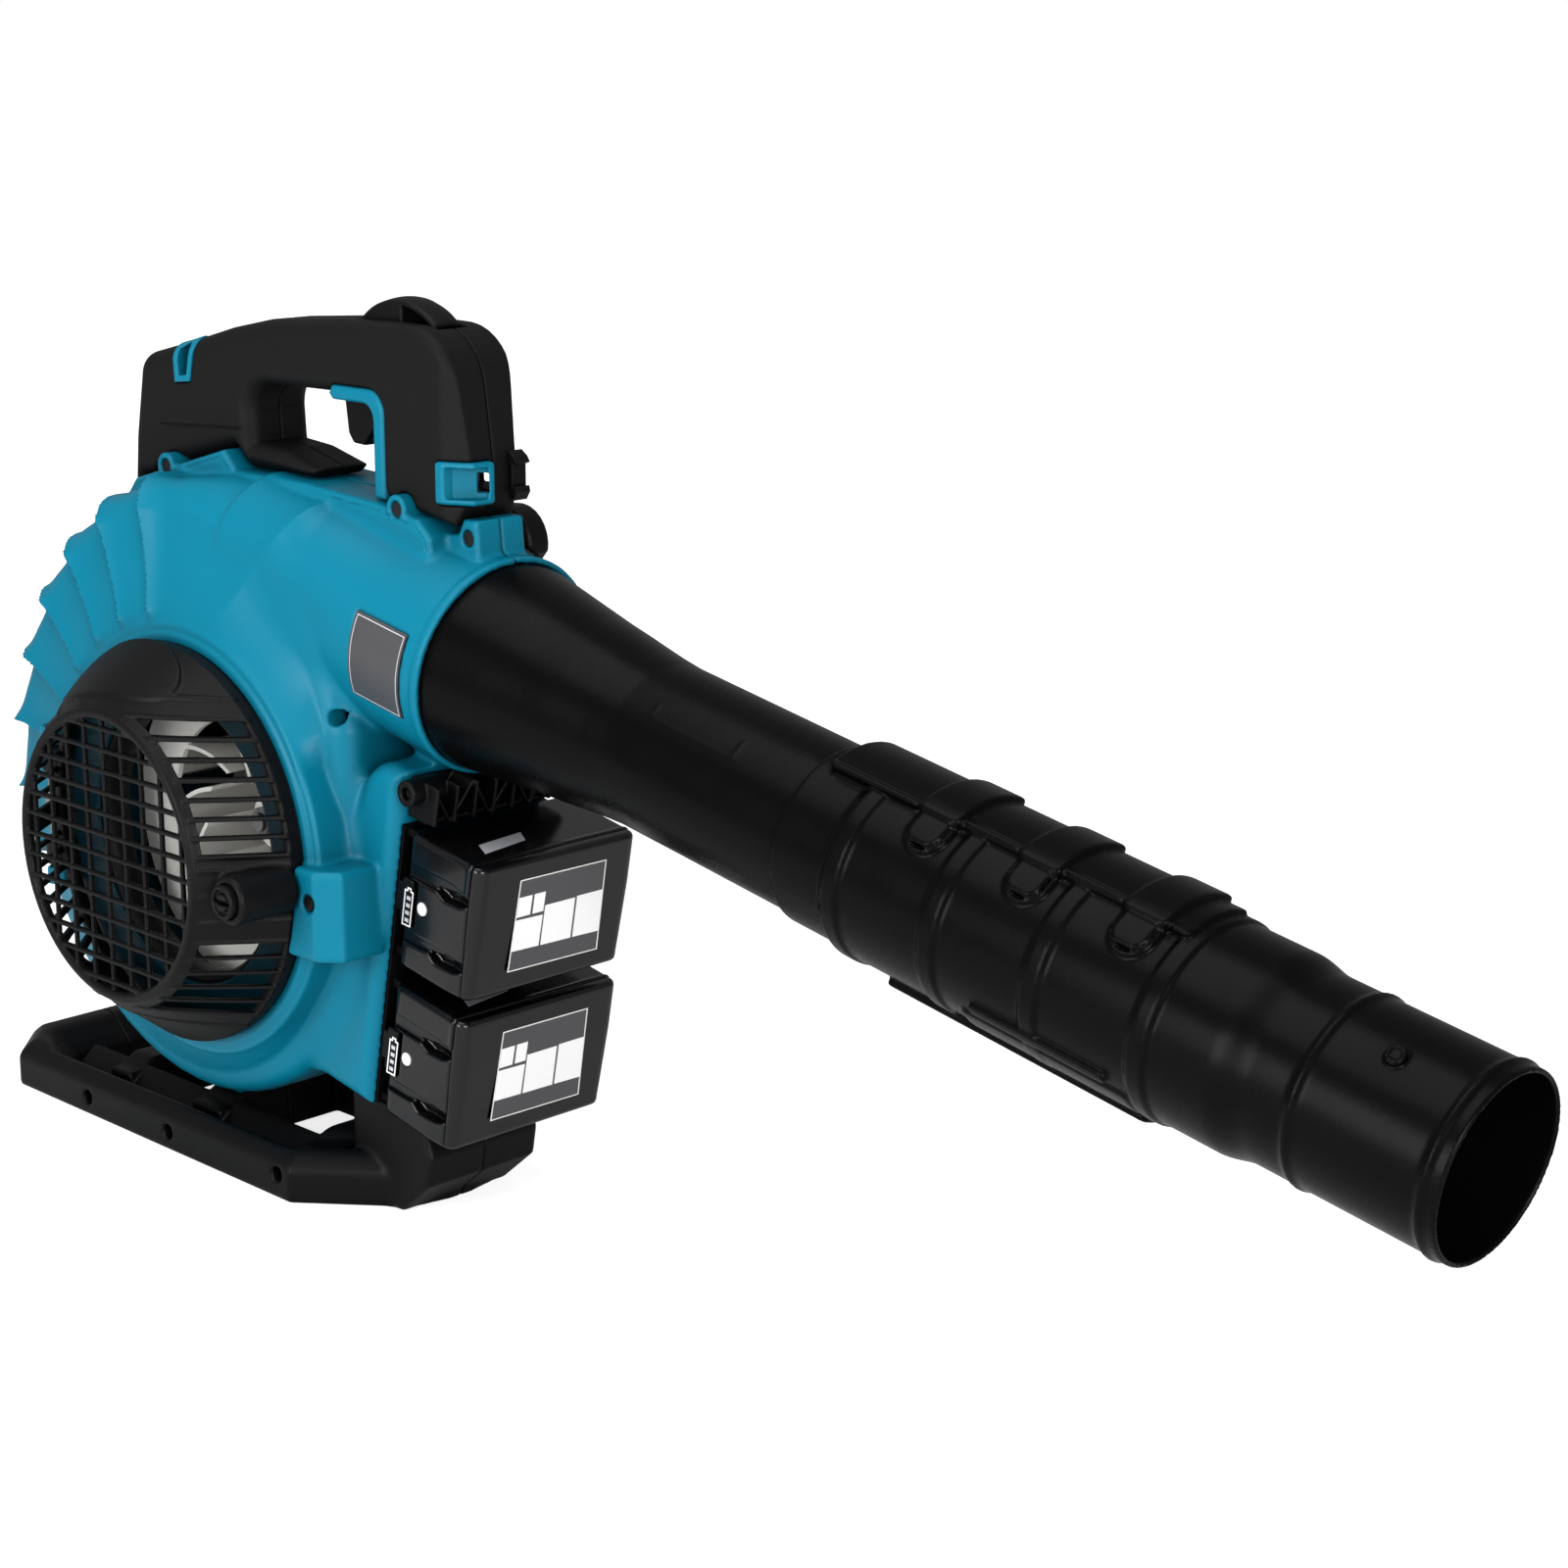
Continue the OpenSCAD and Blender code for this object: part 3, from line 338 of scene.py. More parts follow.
COPPER = plastic("enamelled_copper", (0.55, 0.2, 0.08), 0.3, 500, 0.1, 0.1, 0.1, metal=1.0)
BRASS = plastic("contact_brass", (0.75, 0.5, 0.2), 0.25, 600, 0.05, 0.05, 0.2, metal=1.0)
BOARD = plastic("board_green", (0.02, 0.12, 0.05), 0.35, 400, 0.05, 0.15, 0.0)
RED = plastic("lead_red", (0.4, 0.02, 0.015), 0.45, 800, 0.05, 0.05, 0.0)
CELL = plastic("cell_sleeve", (0.03, 0.2, 0.28), 0.3, 500, 0.04, 0.05, 0.0)

# -------- housing

FIN_FIRST, FIN_STEP, FIN_COUNT = 243.5, 12.7, 7     # the first two in degrees round the scroll
COLLAR_R, COLLAR_END = 57.6, 158.2
SCROLL_HALF_W, RIM_R, RIM_RISE = 57, 118, 16.5
SEAT, SEAT_R = 76.9, 110                            # where the intake cover sits
HINGE = (-116, -82)                                 # x and y of the cover's upright hinge


def scroll_r(t):
    """Radius of the scroll t degrees round from the front, by way of the bottom."""
    return 120 + 70 * t / 180 if t < 180 else 190 + 4 * (t - 180) / 90


def scroll_point(t):
    return scroll_r(t) * math.cos(math.radians(t)), -scroll_r(t) * math.sin(math.radians(t))


# outlines from the side: SCROLL and COLUMN in the pitched frame, the others as the part stands
SCROLL = [scroll_point(t) for t in range(0, 271, 6)] + [(40, 198), (104, 96)]
COLUMN = [(96, -104), (143.8, -104), (143.8, 88)] + arc(134, 66, 22, 90, 170) + [(104, 20)]
SADDLE = [(-116, 330), (-116, 353), (-101, 370), (-17, 394), (-6, 383.4), (51, 383.4), (115, 379.5),
          (148, 374.5), (158, 366), (160, 340), (120, 340)]
BLOCK = [(140, 340), (150, 366), (166, 368), (170.5, 376), (181, 376), (184, 340)]
FOOT = [(-42.6, 28), (-42.6, 62), (-16.4, 62), (-16.4, 28)]
SADDLE_SCREWS = [(-70, 379.5), (132, 378)]
# each screw's x and z, and how far out its seat lies
HOUSING_SCREWS = [(SADDLE_SCREWS[0], 28), (SADDLE_SCREWS[1], 28), ((174, 366.5), 16), ((111, 270), 46)]
# the lug that the cover's latch screws into, from above
LUG = [(88, -48), (88, -84), (126, -84), (138, -74), (138, -48)]


def fins(rho, t):
    """Height of the overlapping plates over the rear of the scroll."""
    v = (FIN_FIRST + 0.05 * (185 - rho) - t) / FIN_STEP
    u = v - np.floor(v)
    inner = (v > -1) & (v < FIN_COUNT)
    shape = np.where(v < 0, 0.9 * u ** 5, 0.22 * u + 0.38 * u * u + 0.4 * u ** 9)
    edge = np.clip((1 - u) / 0.035, 0, 1)
    height = 5.6 + 3.4 * smooth(rho, 135, 182)
    return np.where(inner, shape * edge, 0) * height * smooth(rho, 117, 127)


def scroll_form(xp, zp, ay):
    """The scroll with its soft top edge, the cone up to the intake, the fins and the ring under the cover."""
    rho = np.hypot(xp, zp)
    d = outline(xp, zp, SCROLL)
    edge = 13 + 23 * smooth(xp, -95, 0) * (1 - smooth(xp, 15, 80)) * smooth(zp, 60, 110)
    e = np.maximum(-d - edge, 0)
    q = np.clip((rho - RIM_R) / np.maximum(rho - RIM_R + e, 1), 0, 1)
    body = prism(d, ay - SCROLL_HALF_W, edge)
    cone = smax((ay - SCROLL_HALF_W - RIM_RISE * (1 - q)) * 0.96, d + edge, 5)
    body = smin(body, cone, 4.5) - fins(rho, np.degrees(np.arctan2(-zp, xp)) % 360)
    body = smin(body, prism(rho - 118.5, ay - 73.5, 2.2), 2.2)
    return smin(body, prism(rho - 113.5, ay - 75.6, 1.2), 1.5)


def neck_form(xp, zp, ay):
    """From the scroll's mouth to the round collar, with a small lip at the end."""
    w = smooth(xp, 20, 112)
    hy, hz, zc = 56 + 1.6 * w, 51 + 6.6 * w, 147 - 3.7 * w
    lip = 0.7 * smooth(xp, COLLAR_END - 6, COLLAR_END - 4.6)
    r = 36 + 21.6 * w
    qy, qz = ay - hy + r - lip, np.abs(zp - zc) - hz + r - lip
    tube = np.hypot(np.maximum(qy, 0), np.maximum(qz, 0)) + np.minimum(np.maximum(qy, qz), 0) - r
    return prism(tube, span(xp, -14, COLLAR_END), 1.2)


def saddle_form(x, z, ay):
    """The saddle under the handle, with a groove inside its edge and a boss at each screw."""
    sad = outline(x, z, SADDLE)
    saddle = prism(sad, ay - 28, 3)
    for sx, sz in SADDLE_SCREWS:
        saddle = smin(saddle, prism(np.hypot(x - sx, z - sz) - 7.6, ay - 28.4, 1), 1.5)
    groove = np.maximum(np.abs(sad + 3.6) - 0.5, 27.3 - ay)
    return cut(saddle, np.maximum(groove, 350 - z), 0.5)


def intake_side(body, x, y, z):
    """Adds the latch lug and hinge knuckles, and opens the seat of the cover and the mouth of the fan."""
    lug = prism(outline(x, y, LUG), span(z, 147, 196), 3.5)
    body = smin(body, lug, 2.5)
    u, v, w = x - HINGE[0], y - HINGE[1], z - FAN_Z
    for s in (-46, 36):
        body = smin(body, rod(u, v, w, 0, 0, 5, s, s + 10), 1.5)
    for s in (-46, 36):
        body = smin(body, box(u, v, w, (-5, 0, s), (7, 14, s + 10)), 1.5)
    body = cut(body, np.hypot(u, v) - 2.1, 0.3)
    rim = np.hypot(x, w)
    body = cut(body, np.maximum(rim - SEAT_R, y + SEAT), 0.4)
    body = cut(body, np.maximum(rim - 80, y + 50), 0.8)
    return cut(body, rod(x, z, y, 121, 178.5, 5, -92, -80), 0.5)


def motor_side(body, x, y, z):
    """Adds the hollow cup over the motor, with the hub of a bearing inside."""
    rim = np.hypot(x, z - FAN_Z)
    body = smin(body, prism(rim - 56, span(y, 60, 84), 4), 4)
    body = cut(body, np.maximum(rim - 52, span(y, 58, 81)), 0.5)
    body = smin(body, np.maximum(rim - 15, span(y, 70.5, 83)), 0.5)
    return cut(body, np.maximum(rim - 11.05, span(y, 58, 81)), 0.3)


def hollow_out(body, x, y, z):
    """Cuts the fan's room, the outlet, the tube's seat, the column's cavity and the pack holder's opening."""
    xp, zp = pitch(x, z)
    body = cut(body, np.maximum(np.hypot(x, z - FAN_Z) - 104.6, span(y, -58, 66)), 1)
    duct = np.hypot(y, zp - DUCT_Z)
    body = cut(body, np.maximum(duct - 51, 60 - xp), 1)
    body = cut(body, np.maximum(duct - 55.4, 118 - xp), 0.6)
    body = cut(body, box(xp, y, zp, (123, -46, -98), (136.4, 50, 58), 1), 0.5)
    body = cut(body, box(xp, y, zp, (139.4, -44, -103.4), (149.4, 52, 58.4), 1), 0.5)
    # recess of the rating plate
    angle = np.degrees(np.arctan2(zp - DUCT_Z, -y))
    plate = np.maximum(span(xp, 102.7, 144.3), np.abs(angle + 2.5) - 23.8)
    return cut(body, np.maximum(plate, COLLAR_R - 0.9 - duct), 0.4)


def housing_field(side):
    def field(x, y, z):
        xp, zp = pitch(x, z)
        ay = np.abs(y)
        body = smin(scroll_form(xp, zp, ay), neck_form(xp, zp, ay), 5)
        body = smin(body, prism(outline(xp, zp, COLUMN), span(y, -50, 54), 9), 10)
        body = smin(body, saddle_form(x, z, ay), 4)
        body = smin(body, prism(outline(x, z, BLOCK), ay - 16, 2.2), 3)
        body = smin(body, prism(outline(x, z, FOOT), ay - 34, 3), 4)
        body = smin(body, prism(np.hypot(x - 111, z - 270) - 6.2, ay - 45, 1.5), 2)
        body = hollow_out((intake_side if side < 0 else motor_side)(body, x, y, z), x, y, z)
        for (sx, sz), face in HOUSING_SCREWS:
            body = cut(body, np.maximum(np.hypot(x - sx, z - sz) - 4.4, y + face - 4), 0.5)
        return smax(body, side * -y + 0.12, 0.9)
    return field


sculpt("housing_shell_right", housing_field(-1), (-200, -90, 24), (196, 1.5, 398), 1.2, "housing", TEAL,
       "housing_right")
sculpt("housing_shell_left", housing_field(1), (-200, -1.5, 24), (196, 88, 398), 1.6, "housing", TEAL,
       "housing_left")

# -------- handle

HANDLE = [(-115, 355), (-111, 393)] + arc(-90, 427, 14, 175, 100) + \
    [(-58, 449), (-20, 459), (13, 465.5), (73, 470), (120, 471.5)] + arc(138, 437.5, 33.5, 85, 5) + \
    [(176, 408), (176.4, 392), (172, 380), (168, 372.5), (115, 380.5), (108, 384)] + \
    arc(100, 424, 8, 0, 90) + arc(14, 416, 15, 90, 180) + \
    [(0, 399), (24, 397), (55, 389.5), (50, 384.4), (-5, 384.4), (-16, 395), (-100, 371.2)]
HOLLOW = [(-104, 380), (-98, 424), (-84, 433), (-30, 449), (20, 459), (72, 464), (140, 465), (158, 456),
          (160, 388), (119.5, 391), (119.5, 428), (108, 439.5), (8, 437), (-6, 424), (-8, 402), (-20, 400)]
LIP = [(74, 428.7)] + arc(99, 420.2, 8.5, 90, 0) + [(107.5, 380), (116.7, 380)] + \
    arc(104, 423.8, 12.7, 0, 90) + [(74, 436.5), (71, 432)]
EYE = [(-66, 426), (-52, 427.5), (-47.5, 447), (-46, 462), (-69, 462), (-67.5, 446)]
EYE_HOLE = [(-62.3, 430), (-55, 431), (-51.5, 446), (-53.5, 449), (-63, 444)]
LEVER, LEVER_R, LEVER_W = (113, 437), 46, 9
TRIGGER = (97, 441)
PIN_R = 2.55
HANDLE_SCREWS = [(-84, 394), (-34, 420), (146, 452), (140, 396)]
HALF_W = 22
ANCHOR = [(158, -23), (163, -23), (179.2, -15), (179.2, -1.5), (158, -1.5)]
ANCHOR_Z = (383, 405)


def handle_form(x, y, z, grow=0.0):
    d = outline(x, z, HANDLE)
    ay = np.abs(y)
    f = prism(d - grow, ay - HALF_W - grow, 10 - 5 * smooth(x, 100, 140))
    # bevelled cheeks of the front post
    front = (x - 162.4) * 0.442 + (ay - HALF_W) * 0.897 - grow
    return smax(f, front, 1.2)


def anchor_form(x, y, z, grow):
    return prism(outline(x, y, ANCHOR) - grow, span(z, *ANCHOR_Z) - grow, 2.2)


def anchor_window(x, y, z):
    across = (x - 176) * 0.7071 + (y + 6.5) * 0.7071
    along = (176 - x) * 0.7071 + (y + 6.5) * 0.7071
    slot = np.maximum(span(along, -10, 72), np.abs(across) - 3)
    return np.maximum(slot, span(z, ANCHOR_Z[0] + 6, ANCHOR_Z[0] + 16))


def handle_field(side):
    def field(x, y, z):
        ay = np.abs(y)
        f = handle_form(x, y, z)
        # parting step along the lower rear of the handle
        step = np.abs(z - 403 - 0.05 * (x + 60)) - 0.5
        f = cut(f, np.maximum(step, np.maximum(20.8 - ay, np.abs(x + 40) - 42)), 0.6)
        hollow = np.maximum(outline(x, z, HOLLOW), ay - 18)
        for sx, sz in HANDLE_SCREWS:
            hollow = np.maximum(hollow, 5.5 - np.hypot(x - sx, z - sz))
        f = cut(f, hollow, 0.5)
        f = cut(f, np.maximum(ay - 7.5, np.maximum(span(x, 50, 103.5), span(z, 420, 446))), 0.5)
        lever = np.hypot(x - LEVER[0], z - LEVER[1])
        slot = np.maximum(np.maximum(lever - LEVER_R - 1, ay - LEVER_W - 0.6), LEVER[1] + 8 - z)
        f = cut(f, slot, 0.8)
        f = cut(f, np.maximum(lever - 7.5, ay - LEVER_W - 0.6), 0.4)
        for sx, sz in SADDLE_SCREWS:
            f = cut(f, np.hypot(x - sx, z - sz) - 8.1, 0.8)
        sad = np.maximum(outline(x, z, SADDLE) - 0.5, ay - 29)
        f = cut(f, sad, 0.4)
        f = cut(f, np.maximum(outline(x, z, EYE) - 0.3, 10 - ay), 0.5)
        f = cut(f, outline(x, z, LIP) - 0.25, 0.5)
        f = cut(f, anchor_form(x, y, z, 0.3), 0.4)
        f = cut(f, anchor_window(x, y, z), 0.5)
        for sx, sz in HANDLE_SCREWS:
            f = cut(f, np.maximum(np.hypot(x - sx, z - sz) - 4.4, 19 - y), 0.4)
        return smax(f, side * -y + 0.12, 0.8)
    return field


for side, word in ((-1, "right"), (1, "left")):
    sculpt("handle_shell_" + word, handle_field(side), (-120, -24 if side < 0 else -1.5, 350),
           (180, 1.5 if side < 0 else 24, 474), 1.0, "housing", GRIP, "handle_" + word)


def band_field(x, y, z):
    ay = np.abs(y)
    f = prism(outline(x, z, LIP), ay - HALF_W - 0.6, 2.6)
    f = cut(f, np.maximum(ay - 7.5, np.maximum(span(x, 60, 103.5), z - 440)), 0.5)
    f = cut(f, np.maximum(np.hypot(x - LEVER[0], z - LEVER[1]) - 7.5, ay - LEVER_W - 0.6), 0.3)
    return cut(f, outline(x, z, SADDLE) - 0.3, 0.3)


sculpt("hand_hole_band", band_field, (68, -24, 372), (120, 24, 440), 0.8, "housing", TEAL, "guard_lip")


def eye_field(x, y, z):
    ay = np.abs(y)
    f = smax(prism(outline(x, z, EYE), np.maximum(12 - ay, handle_form(x, y, z, 0.7)), 0.9), 10.5 - ay, 0.4)
    return cut(f, np.maximum(outline(x, z, EYE_HOLE), 14 - ay), 0.9)


sculpt("strap_eye_frame", eye_field, (-72, -25, 422), (-44, 25, 458), 0.7, "housing", TEAL, "strap_eye")


def anchor_field(x, y, z):
    pocket = outline(x, y, [(162, -30), (190, -30), (190, -5), (176, -5), (165, -17)])
    room = prism(pocket, span(z, ANCHOR_Z[0] + 3, ANCHOR_Z[1] - 3), 1.5)
    # a pocket closed behind, and the slot through the corner
    f = cut(anchor_form(x, y, z, 0), room, 1.0)
    return cut(f, anchor_window(x, y, z), 0.6)


sculpt("strap_anchor_loop", anchor_field, (156, -25, 381), (182, 1, 407), 0.6, "housing", TEAL,
       "strap_anchor")


def lever_field(x, y, z):
    u, v = x - LEVER[0], z - LEVER[1]
    d = np.hypot(u, v)
    a = np.degrees(np.arctan2(v, u))
    crown = LEVER_R + 0.2 - 0.018 * y * y
    # finger grooves across the dome, deepest at the front
    ridge = 0.35 * np.exp(-((a - 72) / 9) ** 2) + 0.3 * np.exp(-((a - 104) / 9) ** 2)
    f = prism(d - crown + ridge, np.abs(y) - LEVER_W, 1.6)
    f = smax(f, np.abs(a - 90) * 0.6 - 43 * 0.6, 2)
    f = smin(f, prism(d - 7, np.abs(y) - LEVER_W, 0.8), 1)
    inner = np.maximum(d - LEVER_R + 3.7, np.maximum(4 - u, 7 - v))
    f = cut(f, inner, 0.5)
    return cut(f, d - PIN_R, 0.2)


sculpt("speed_lever_dome", lever_field, (78, -10, 428), (150, 10, 486), 0.8, "speed_lever", BLACK,
       "speed_lever")


def trigger_field(x, y, z):
    shape = [(62, 440), (65, 424), (67, 409), (71, 404), (80, 403.5), (88, 412), (95, 429), (101, 436),
             (101.5, 443), (94, 446), (70, 443)]
    f = prism(outline(x, z, shape), np.abs(y) - 7, 2.2)
    pivot = np.hypot(x - TRIGGER[0], z - TRIGGER[1])
    f = smin(f, prism(pivot - 6, np.abs(y) - 7, 0.5), 0.6)
    return cut(f, pivot - PIN_R, 0.2)


sculpt("trigger_blade", trigger_field, (58, -8.5, 400), (106, 8.5, 449), 0.8, "trigger", BLACK, "trigger")


def hanger_field(x, y, z):
    shape = [(118, 356), (124, 374)] + arc(150, 356, 20, 100, -10) + [(162, 344), (130, 348)]
    xp, zp = pitch(x, z)
    f = prism(outline(x, z, shape), span(y, 28.3, 44), 4)
    return cut(f, np.hypot(y, zp - DUCT_Z) - 59.2, 0.5)


sculpt("side_hanger_block", hanger_field, (114, 27, 340), (174, 46, 380), 0.9, "housing", BLACK,
       "side_hanger")

# -------- intake cover

COVER_R, FRONT_R, FACE = 109.4, 76.5, 125.7          # widest, at the front ring, and how far out it stands
SLAT_PITCH, BAR_PITCH, POST_PITCH = 9.4, 11.6, 17
LATCH = (104, 184)


def slatted_cone(x, z, r, dy):
    """The cone of the cover with its slots, the slats' thin ledges and the smooth pad on top."""
    rise = np.clip((dy - SEAT - 8) / (FACE - 2 - SEAT - 8), 0, 1)
    outer = COVER_R - (COVER_R - FRONT_R - 4) * rise
    lean = 0.8 + 0.2 * (rise <= 0)
    shell = (r - outer) * lean
    wall = smax(shell, (outer - 3.8 - r) * lean, 0.5)
    wall = prism(wall, span(dy, SEAT + 0.3, FACE - 2), 1.0)
    # slots all round the rear, and above and below the latch at the front
    k = np.clip(np.round(z / SLAT_PITCH), -8, 8)
    bar = np.abs(z - k * SLAT_PITCH) - 3.45
    front_zone = np.maximum(-3 - x, np.where((k >= 2) | (k <= -4), -5.0, 5.0))
    rear_zone = np.maximum(x + 55, np.where(k == 0, 5.0, -5.0))
    slots = np.maximum(np.maximum(bar, span(dy, 84, FACE - 6)), np.minimum(front_zone, rear_zone))
    wall = cut(wall, slots, 0.45)
    plain = (z > -28) & (z < 12) & (x > -30)
    step = np.where(plain, 1.5 * SLAT_PITCH, SLAT_PITCH)
    lines = np.abs(z - (np.floor(z / step) + 0.5) * step) - 0.9
    ledge = np.maximum(np.maximum(lines, span(dy, 82, FACE - 3)), np.abs(z) - 94)
    wall = smin(wall, np.maximum(ledge, np.maximum(shell - 0.9, outer - 3 - r)), 0.5)
    pad = ((x + 14) / 50) ** 2 + ((dy - 101) / 17) ** 2 - 1
    pad = np.maximum(np.maximum(pad * 9, np.maximum(shell - 1.8, outer - 3 - r)), -z)
    return wall, shell, pad


def mouth_mesh(x, z, r, dy):
    """Crossed bars over the mouth."""
    kz = np.clip(np.round(z / BAR_PITCH), -7, 7)
    kx = np.clip(np.round(x / POST_PITCH), -4, 4)
    bars = prism(np.abs(z - kz * BAR_PITCH) - 1.3, span(dy, FACE - 4, FACE - 0.6), 0.9)
    posts = prism(np.abs(x - kx * POST_PITCH) - 1.1, span(dy, FACE - 4.4, FACE - 1.4), 0.9)
    return np.maximum(np.minimum(bars, posts), r - FRONT_R - 1)


def latch_housing(x, r, dy, u, v, shell):
    round_part = prism(np.hypot(u, v) - 13, span(dy, 84.6, FACE - 4), 2.5)
    reach = np.maximum(span(dy, 86, FACE - 12), shell - 14)
    web = prism(np.maximum(span(x, 78, 98), np.abs(v) - 11), reach, 3)
    return smax(smin(round_part, web, 2), FRONT_R + 3 - r, 0.5)


def cover_field(x, y, z):
    """The cover round the fan's axis: z is measured from it here."""
    r = np.hypot(x, z)
    dy = -y
    wall, shell, pad = slatted_cone(x, z, r, dy)
    ring = prism(np.maximum(r - FRONT_R - 4, FRONT_R - 2.4 - r), span(dy, FACE - 6, FACE), 2.6)
    wall = smin(wall, ring, 0.8)
    foot = prism(np.maximum(r - COVER_R, COVER_R - 5 - r), span(dy, SEAT + 0.3, SEAT + 8), 1.2)
    wall = smin(wall, foot, 1.2)
    wall = smin(wall, pad, 1.2)
    wall = smin(wall, mouth_mesh(x, z, r, dy), 0.7)
    u, v = x - LATCH[0], z - (LATCH[1] - FAN_Z)
    wall = smin(wall, latch_housing(x, r, dy, u, v, shell), 2)
    wall = cut(wall, np.maximum(np.hypot(u, v) - 9.3, 105.6 - dy), 0.6)
    wall = cut(wall, np.hypot(u, v) - 4.1, 0.3)
    # hinge knuckles, and room for those of the housing
    for s in (-34, 20):
        wall = smin(wall, rod(x, y, z, *HINGE, 5, s, s + 14), 1)
        wall = smin(wall, box(x, y, z, (-116, -87, s), (-104, -80, s + 14), 1), 1)
    for s in (-47, 35):
        wall = cut(wall, box(x, y, z, (-128, -88, s), (-107, -64, s + 12), 0.5), 0.3)
    return cut(wall, np.hypot(x - HINGE[0], y - HINGE[1]) - 2.1, 0.3)


def raise_to_fan(p):
    return p + np.array([0, 0, FAN_Z])


sculpt("intake_grille", cover_field, (-124, -127.2, -112), (120, -76, 112), 0.9, "intake_cover", BLACK,
       "intake_cover", raise_to_fan)


def latch_slot(x, y, z):
    u, v = x - LATCH[0], z - LATCH[1]
    d = np.hypot(u, v)
    f = prism(d - 9, span(-y, 107, FACE - 0.5), 0.9)
    f = smin(f, prism(d - 3, span(-y, 84.5, 108), 0.4), 0.5)
    f = cut(f, prism(np.maximum(d - 6.8, 4.6 - d), 123.6 + y, 0.3), 0.3)
    return cut(f, np.maximum(np.maximum(np.abs(v) - 1.3, np.abs(u) - 6.8), 121.5 + y), 0.4)


sculpt("latch_screw", latch_slot, (93, -127, 173), (115, -83, 195), 0.6, "cover_latch", BLACK, "cover_latch")

# -------- battery packs

# a pack is drawn round its own centre; these are the upper one's centre and the way down to the lower one
PACK_X, PACK_Y, PACK_Z, PACK_STEP = 175.7, 8.0, 20.4, 86.2
PACK_BACK, PACK_FRONT, PACK_HALF_L, PACK_HALF_W = -26.5, 31.5, 54.0, 37.5
SPLIT = 24.5                # the case ends and the front cover begins
PACK_HOLLOW = (-20, -43.4, -34), (40, 51.6, 34)
# finger scoops in the pack's end: a shallow outline and a deeper one for each
SCOOPS = [([(-29, 13.5), (-29, 21), (10, 22), (25, 20), (27, 17.5), (24, 15.5), (13, 15), (-2, 13.8)],
           [(-2, 14.5), (12, 17.5), (25, 17), (24, 14.6), (18, 11.8), (6, 11)]),
          ([(-29, -22.8), (-29, -16.5), (19, -15.8), (26, -17.5), (27, -20), (20, -21), (5, -21.5),
            (-24, -22.8)],
           [(-2, -21.8), (12, -18.5), (25, -19), (26, -21.5), (18, -25), (4, -25.5)])]
BUTTON = (-9.4, 0.0)


def pack_to_part(i):
    def move(p):
        return unpitch(p + np.array([PACK_X, PACK_Y, PACK_Z - i * PACK_STEP]))
    return move


def pack_outline():
    return arc(PACK_BACK + 8, -46, 8, 180, 270) + arc(PACK_FRONT - 7, -47, 7, 270, 360) + \
        arc(PACK_FRONT - 6, 48, 6, 0, 90) + arc(PACK_BACK + 6, 48, 6, 90, 180)


def pack_body(x, y, z):
    """Outer skin of a pack: the flanks lean in a little towards the bottom."""
    lean = 0.035 * np.clip(10 - z, 0, 60)
    d = outline(x, y, pack_outline()) + lean * smooth(x, 10, 31)
    return prism(d, np.abs(z) - PACK_HALF_W, 3.2)


def pack_case_field(x, y, z):
    f = pack_body(x, y, z)
    end = y + PACK_HALF_L
    for shallow, deep in SCOOPS:
        f = cut(f, np.maximum(outline(x, z, shallow), end - 2.8), 0.7)
        f = cut(f, np.maximum(outline(x, z, deep), end - 7 + 0.12 * np.abs(x - 12)), 0.7)
    # raised lip beside the seam
    lip = smax(f - 0.55, np.abs(x - SPLIT + 1.4) - 1.1, 0.4)
    f = smin(f, np.maximum(lip, 20 - z), 0.4)
    f = np.maximum(f, x - SPLIT)
    rails = box(x, y, z, (-31.1, -47, -31), (-29.1, 50, 31), 0.4)
    rails = np.minimum(rails, box(x, y, z, (-30, -47, -28), (-22, 50, 28), 0.4))
    f = smin(f, rails, 0.4)
    f = cut(f, box(x, y, z, *PACK_HOLLOW, 1), 0.3)
    for s in (-12, 12):
        f = cut(f, box(x, y, z, (-40, 12, s - 1.2), (-23.6, 72, s + 1.2), 0.2), 0.2)
    f = cut(f, box(x, y, z, (-40, -60, -12.5), (-14.5, -46, 12.5), 0.3), 0.4)
    return cut(f, np.maximum(np.hypot(x - BUTTON[0], z - BUTTON[1]) - 3.65, y + 48), 0.2)


def pack_cover_field(x, y, z):
    f = pack_body(x, y, z)
    f = smax(f, SPLIT + 0.25 - x, 0.5)
    return cut(f, box(x, y, z, (-20, -43.4, -34), (28, 51.6, 34), 1), 0.3)


def pack_release_field(x, y, z):
    f = box(x, y, z, (-26, -54.3, -12), (-18, -46.3, 12), 0.8)
    return smin(f, box(x, y, z, (-30.8, -53, -8), (-24.8, -47, 8), 0.5), 0.3)


def normal_of(loop):
    across = np.cross(np.subtract(loop[1], loop[0]), np.subtract(loop[2], loop[0]))
    return across / np.linalg.norm(across)


def slab(name, outer, to_part, body, material, thick=0.18):
    """A thin printed patch whose visible face has the corners outer."""
    n = len(outer)
    top = [np.array(p, float) for p in outer]
    low = [p - normal_of(outer) * thick for p in top]
    verts = top + low + [sum(top) / n, sum(low) / n]
    faces = []
    for i in range(n):
        j = (i + 1) % n
        faces += [(i, j, 2 * n), (n + j, n + i, 2 * n + 1), (i, n + i, n + j), (i, n + j, j)]
    return add_mesh(name, to_part(np.array(verts)) * MM, faces, body, material, sharp=30)


